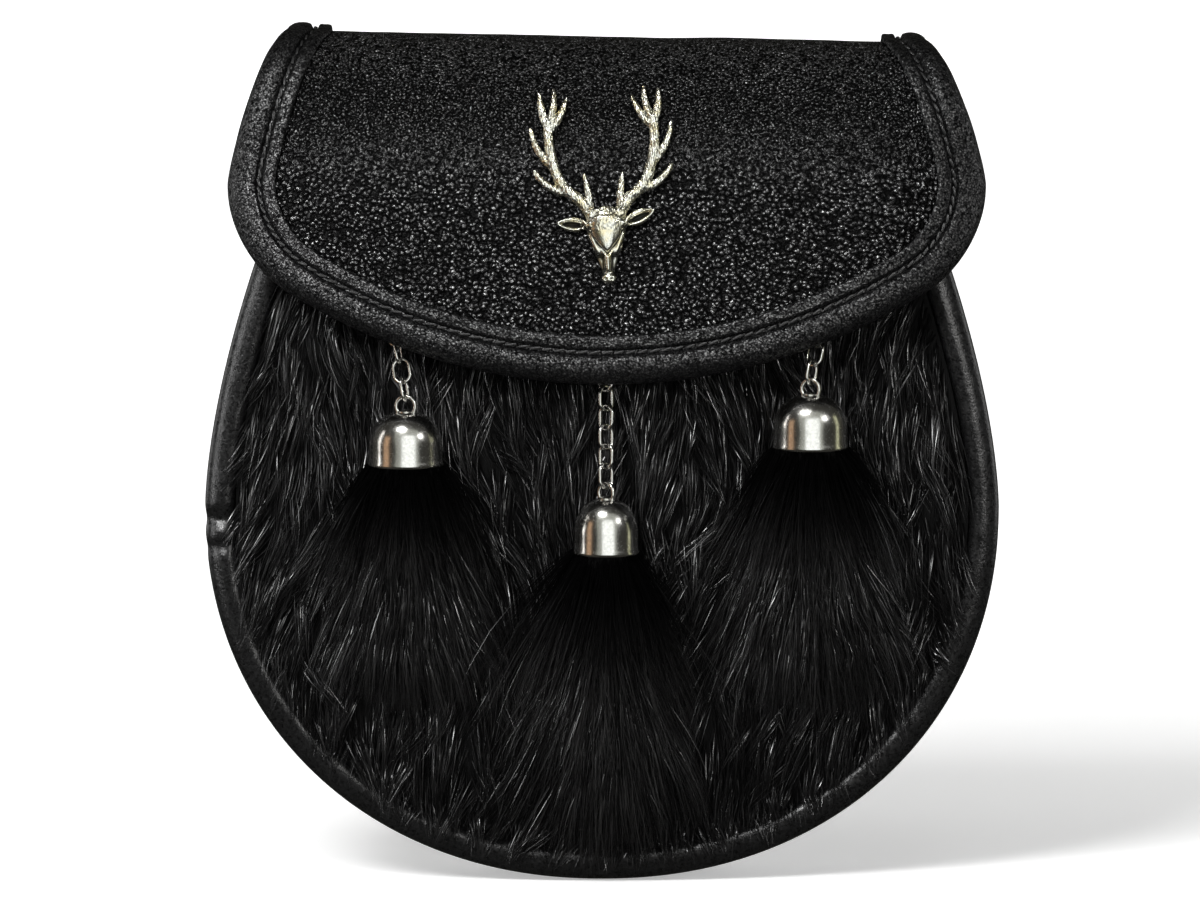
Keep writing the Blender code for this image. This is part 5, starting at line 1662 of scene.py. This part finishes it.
class MakeTassels(bpy.types.Operator):
    """Makes the three fur tassels: a dense middle inside each bell, near-black as painted shade of the
    hair's inside, and its hair
    """
    bl_idname = "sporran.make_tassels"
    bl_label = "Tassels"

    def execute(self, context):
        look = context.scene.sporran_fur
        finish = fur_finish(look, "tassel_hair_finish", 2.0, 0.32)
        for index, row in enumerate(TASSELS):
            centre = bell_axis(row)
            radius = row.diameter / 2 - BELL_WALL - GAP

            def core_place(u, v, row=row, centre=centre, radius=radius):
                angle = 2 * math.pi * u
                drop = row.hair * 0.55 * v
                flare = v ** 0.8
                close = math.sin(min(1.0, (1 - v) * 4.0) * math.pi / 2) ** 0.5
                half = (radius * (1 - flare) + row.spread / 2 * 0.42 * flare) * close
                x = centre.x + half * math.cos(angle)
                z = centre.z + 0.004 - drop
                surface = FRONT_OUTER - dome(x, z)
                settle = smooth_step(v * 1.5)
                middle = centre.y + (surface - PILE_FACE - radius * 0.30 - centre.y) * settle
                thick = (radius * (1 - v * 0.75)) * close
                groove = 1 + 0.05 * math.sin(angle * 17) * v
                y = min(middle + thick * groove * math.sin(angle), surface - PILE_FACE - 0.0003)
                return Vector((x, y, z))

            core = closed_up(laid_grid("tassel_core_" + row.name, 64, 30, core_place))
            # The core wears the near-black base finish: it stands for the shaded middle of the tassel, as
            # painted shade.
            skin = finish_named("fur_base_shade_finish", skin_finish, look)
            dress(core, skin, ["tassel_" + row.name])
            hairs = tassel_hair(row, look, 21 + index)
            dress(hairs, finish, smooth=180)
        return {"FINISHED"}


class SetStage(bpy.types.Operator):
    """Sets the floor, the lights and the camera"""
    bl_idname = "sporran.set_stage"
    bl_label = "Stage"

    def execute(self, context):
        stage = context.scene.sporran_stage
        floor_height = cad_box[0].z - FLOOR_GAP
        reach = 5.0
        radius = 0.8

        def bowl(u, v):
            run = 8.0 * v ** 1.5
            turn = min(math.pi / 2, max(0.0, run - reach) / radius)
            out = min(run, reach) + radius * math.sin(turn)
            rise = radius * (1 - math.cos(turn)) + max(0.0, run - reach - radius * math.pi / 2)
            angle = 2 * math.pi * u
            return Vector((out * math.cos(angle), out * math.sin(angle), floor_height + rise))

        floor = laid_grid("floor", 72, 48, bowl)
        floor.data.materials.append(finish_named("floor_finish", floor_finish, stage))
        floor.data.shade_smooth()
        floor.visible_glossy = False

        groups = {}
        for name in ("metal_pieces", "other_pieces", "leather_and_fur", "rear_pieces"):
            groups[name] = bpy.data.collections.new(name)
        for piece in context.scene.objects:
            if piece.type == "MESH":
                finish = piece.active_material
                shiny = finish and finish.name in ("chrome_finish", "antique_silver_finish")
                groups["metal_pieces" if shiny else "other_pieces"].objects.link(piece)
                if not shiny and piece != floor:
                    groups["leather_and_fur"].objects.link(piece)
        for name in ("back_panel_leather", "back_stitches", "strap_loop_leather", "loop_stitches"):
            groups["rear_pieces"].objects.link(bpy.data.objects[name])
        for *settings, lit in LIGHTS:
            self.light(*settings, groups[lit])

        world = bpy.data.worlds.new("room")
        world.use_nodes = True
        background = world.node_tree.nodes["Background"]
        background.inputs["Color"].default_value = (*ROOM_COLOUR, 1)
        background.inputs["Strength"].default_value = ROOM_STRENGTH
        context.scene.world = world

        data = bpy.data.cameras.new("camera")
        data.sensor_width = 36
        data.lens = 36 * stage.distance / stage.frame_width
        camera = placed("camera", data)
        away = Vector((0, -math.cos(stage.elevation), math.sin(stage.elevation)))
        camera.location = CAMERA_TARGET + away * stage.distance
        camera.rotation_mode = "QUATERNION"
        camera.rotation_quaternion = (-away).to_track_quat("-Z", "Y")
        context.scene.camera = camera
        context.scene.view_settings.view_transform = "Standard"
        return {"FINISHED"}

    @staticmethod
    def light(name, azimuth, elevation, distance, size, watts, colour, lit):
        """Soft area light for a group of pieces, turned to the middle of the pouch."""
        a = math.radians(azimuth)
        e = math.radians(elevation)
        away = Vector((math.sin(a) * math.cos(e), -math.cos(a) * math.cos(e), math.sin(e)))
        data = bpy.data.lights.new(name, "AREA")
        data.shape = "RECTANGLE"
        data.size, data.size_y = size
        data.energy = watts
        data.color = colour
        lamp = placed(name, data)
        lamp.light_linking.receiver_collection = lit
        lamp.visible_camera = False
        lamp.location = LIT_MIDDLE + away * distance
        lamp.rotation_mode = "QUATERNION"
        lamp.rotation_quaternion = (-away).to_track_quat("-Z", "Y")


OPERATORS = (
    MakeBody, MakeRim, MakeFur, MakeFlap, MakeBinding,
    MakeBadge, MakeBells, MakeChains, MakeTassels, SetStage,
)
GROUPS = (
    ("sporran_leather", SporranLeather),
    ("sporran_fur", SporranFur),
    ("sporran_metal", SporranMetal),
    ("sporran_stage", SporranStage),
)


class SporranPanel(bpy.types.Panel):
    """Lists the pieces of the pouch"""
    bl_idname = "VIEW3D_PT_sporran"
    bl_label = "Sporran pouch"
    bl_space_type = "VIEW_3D"
    bl_region_type = "UI"
    bl_category = "Sporran"

    def draw(self, context):
        for name, group in GROUPS:
            box = self.layout.box()
            for key in group.__annotations__:
                box.prop(getattr(context.scene, name), key)
        for operator in OPERATORS:
            self.layout.operator(operator.bl_idname)


def register():
    """Registers the groups, the operators and the panel."""
    for name, group in GROUPS:
        bpy.utils.register_class(group)
        setattr(bpy.types.Scene, name, PointerProperty(type=group))
    for operator in OPERATORS:
        bpy.utils.register_class(operator)
    bpy.utils.register_class(SporranPanel)


def unregister():
    """Takes them out again."""
    bpy.utils.unregister_class(SporranPanel)
    for operator in reversed(OPERATORS):
        bpy.utils.unregister_class(operator)
    for name, group in reversed(GROUPS):
        delattr(bpy.types.Scene, name)
        bpy.utils.unregister_class(group)


def main():
    """Makes every piece in order."""
    register()
    bpy.ops.sporran.make_body()
    bpy.ops.sporran.make_rim()
    bpy.ops.sporran.make_fur()
    bpy.ops.sporran.make_flap()
    bpy.ops.sporran.make_binding()
    bpy.ops.sporran.make_badge()
    bpy.ops.sporran.make_bells()
    bpy.ops.sporran.make_chains()
    bpy.ops.sporran.make_tassels()
    bpy.ops.sporran.set_stage()


if __name__ == "__main__":
    main()
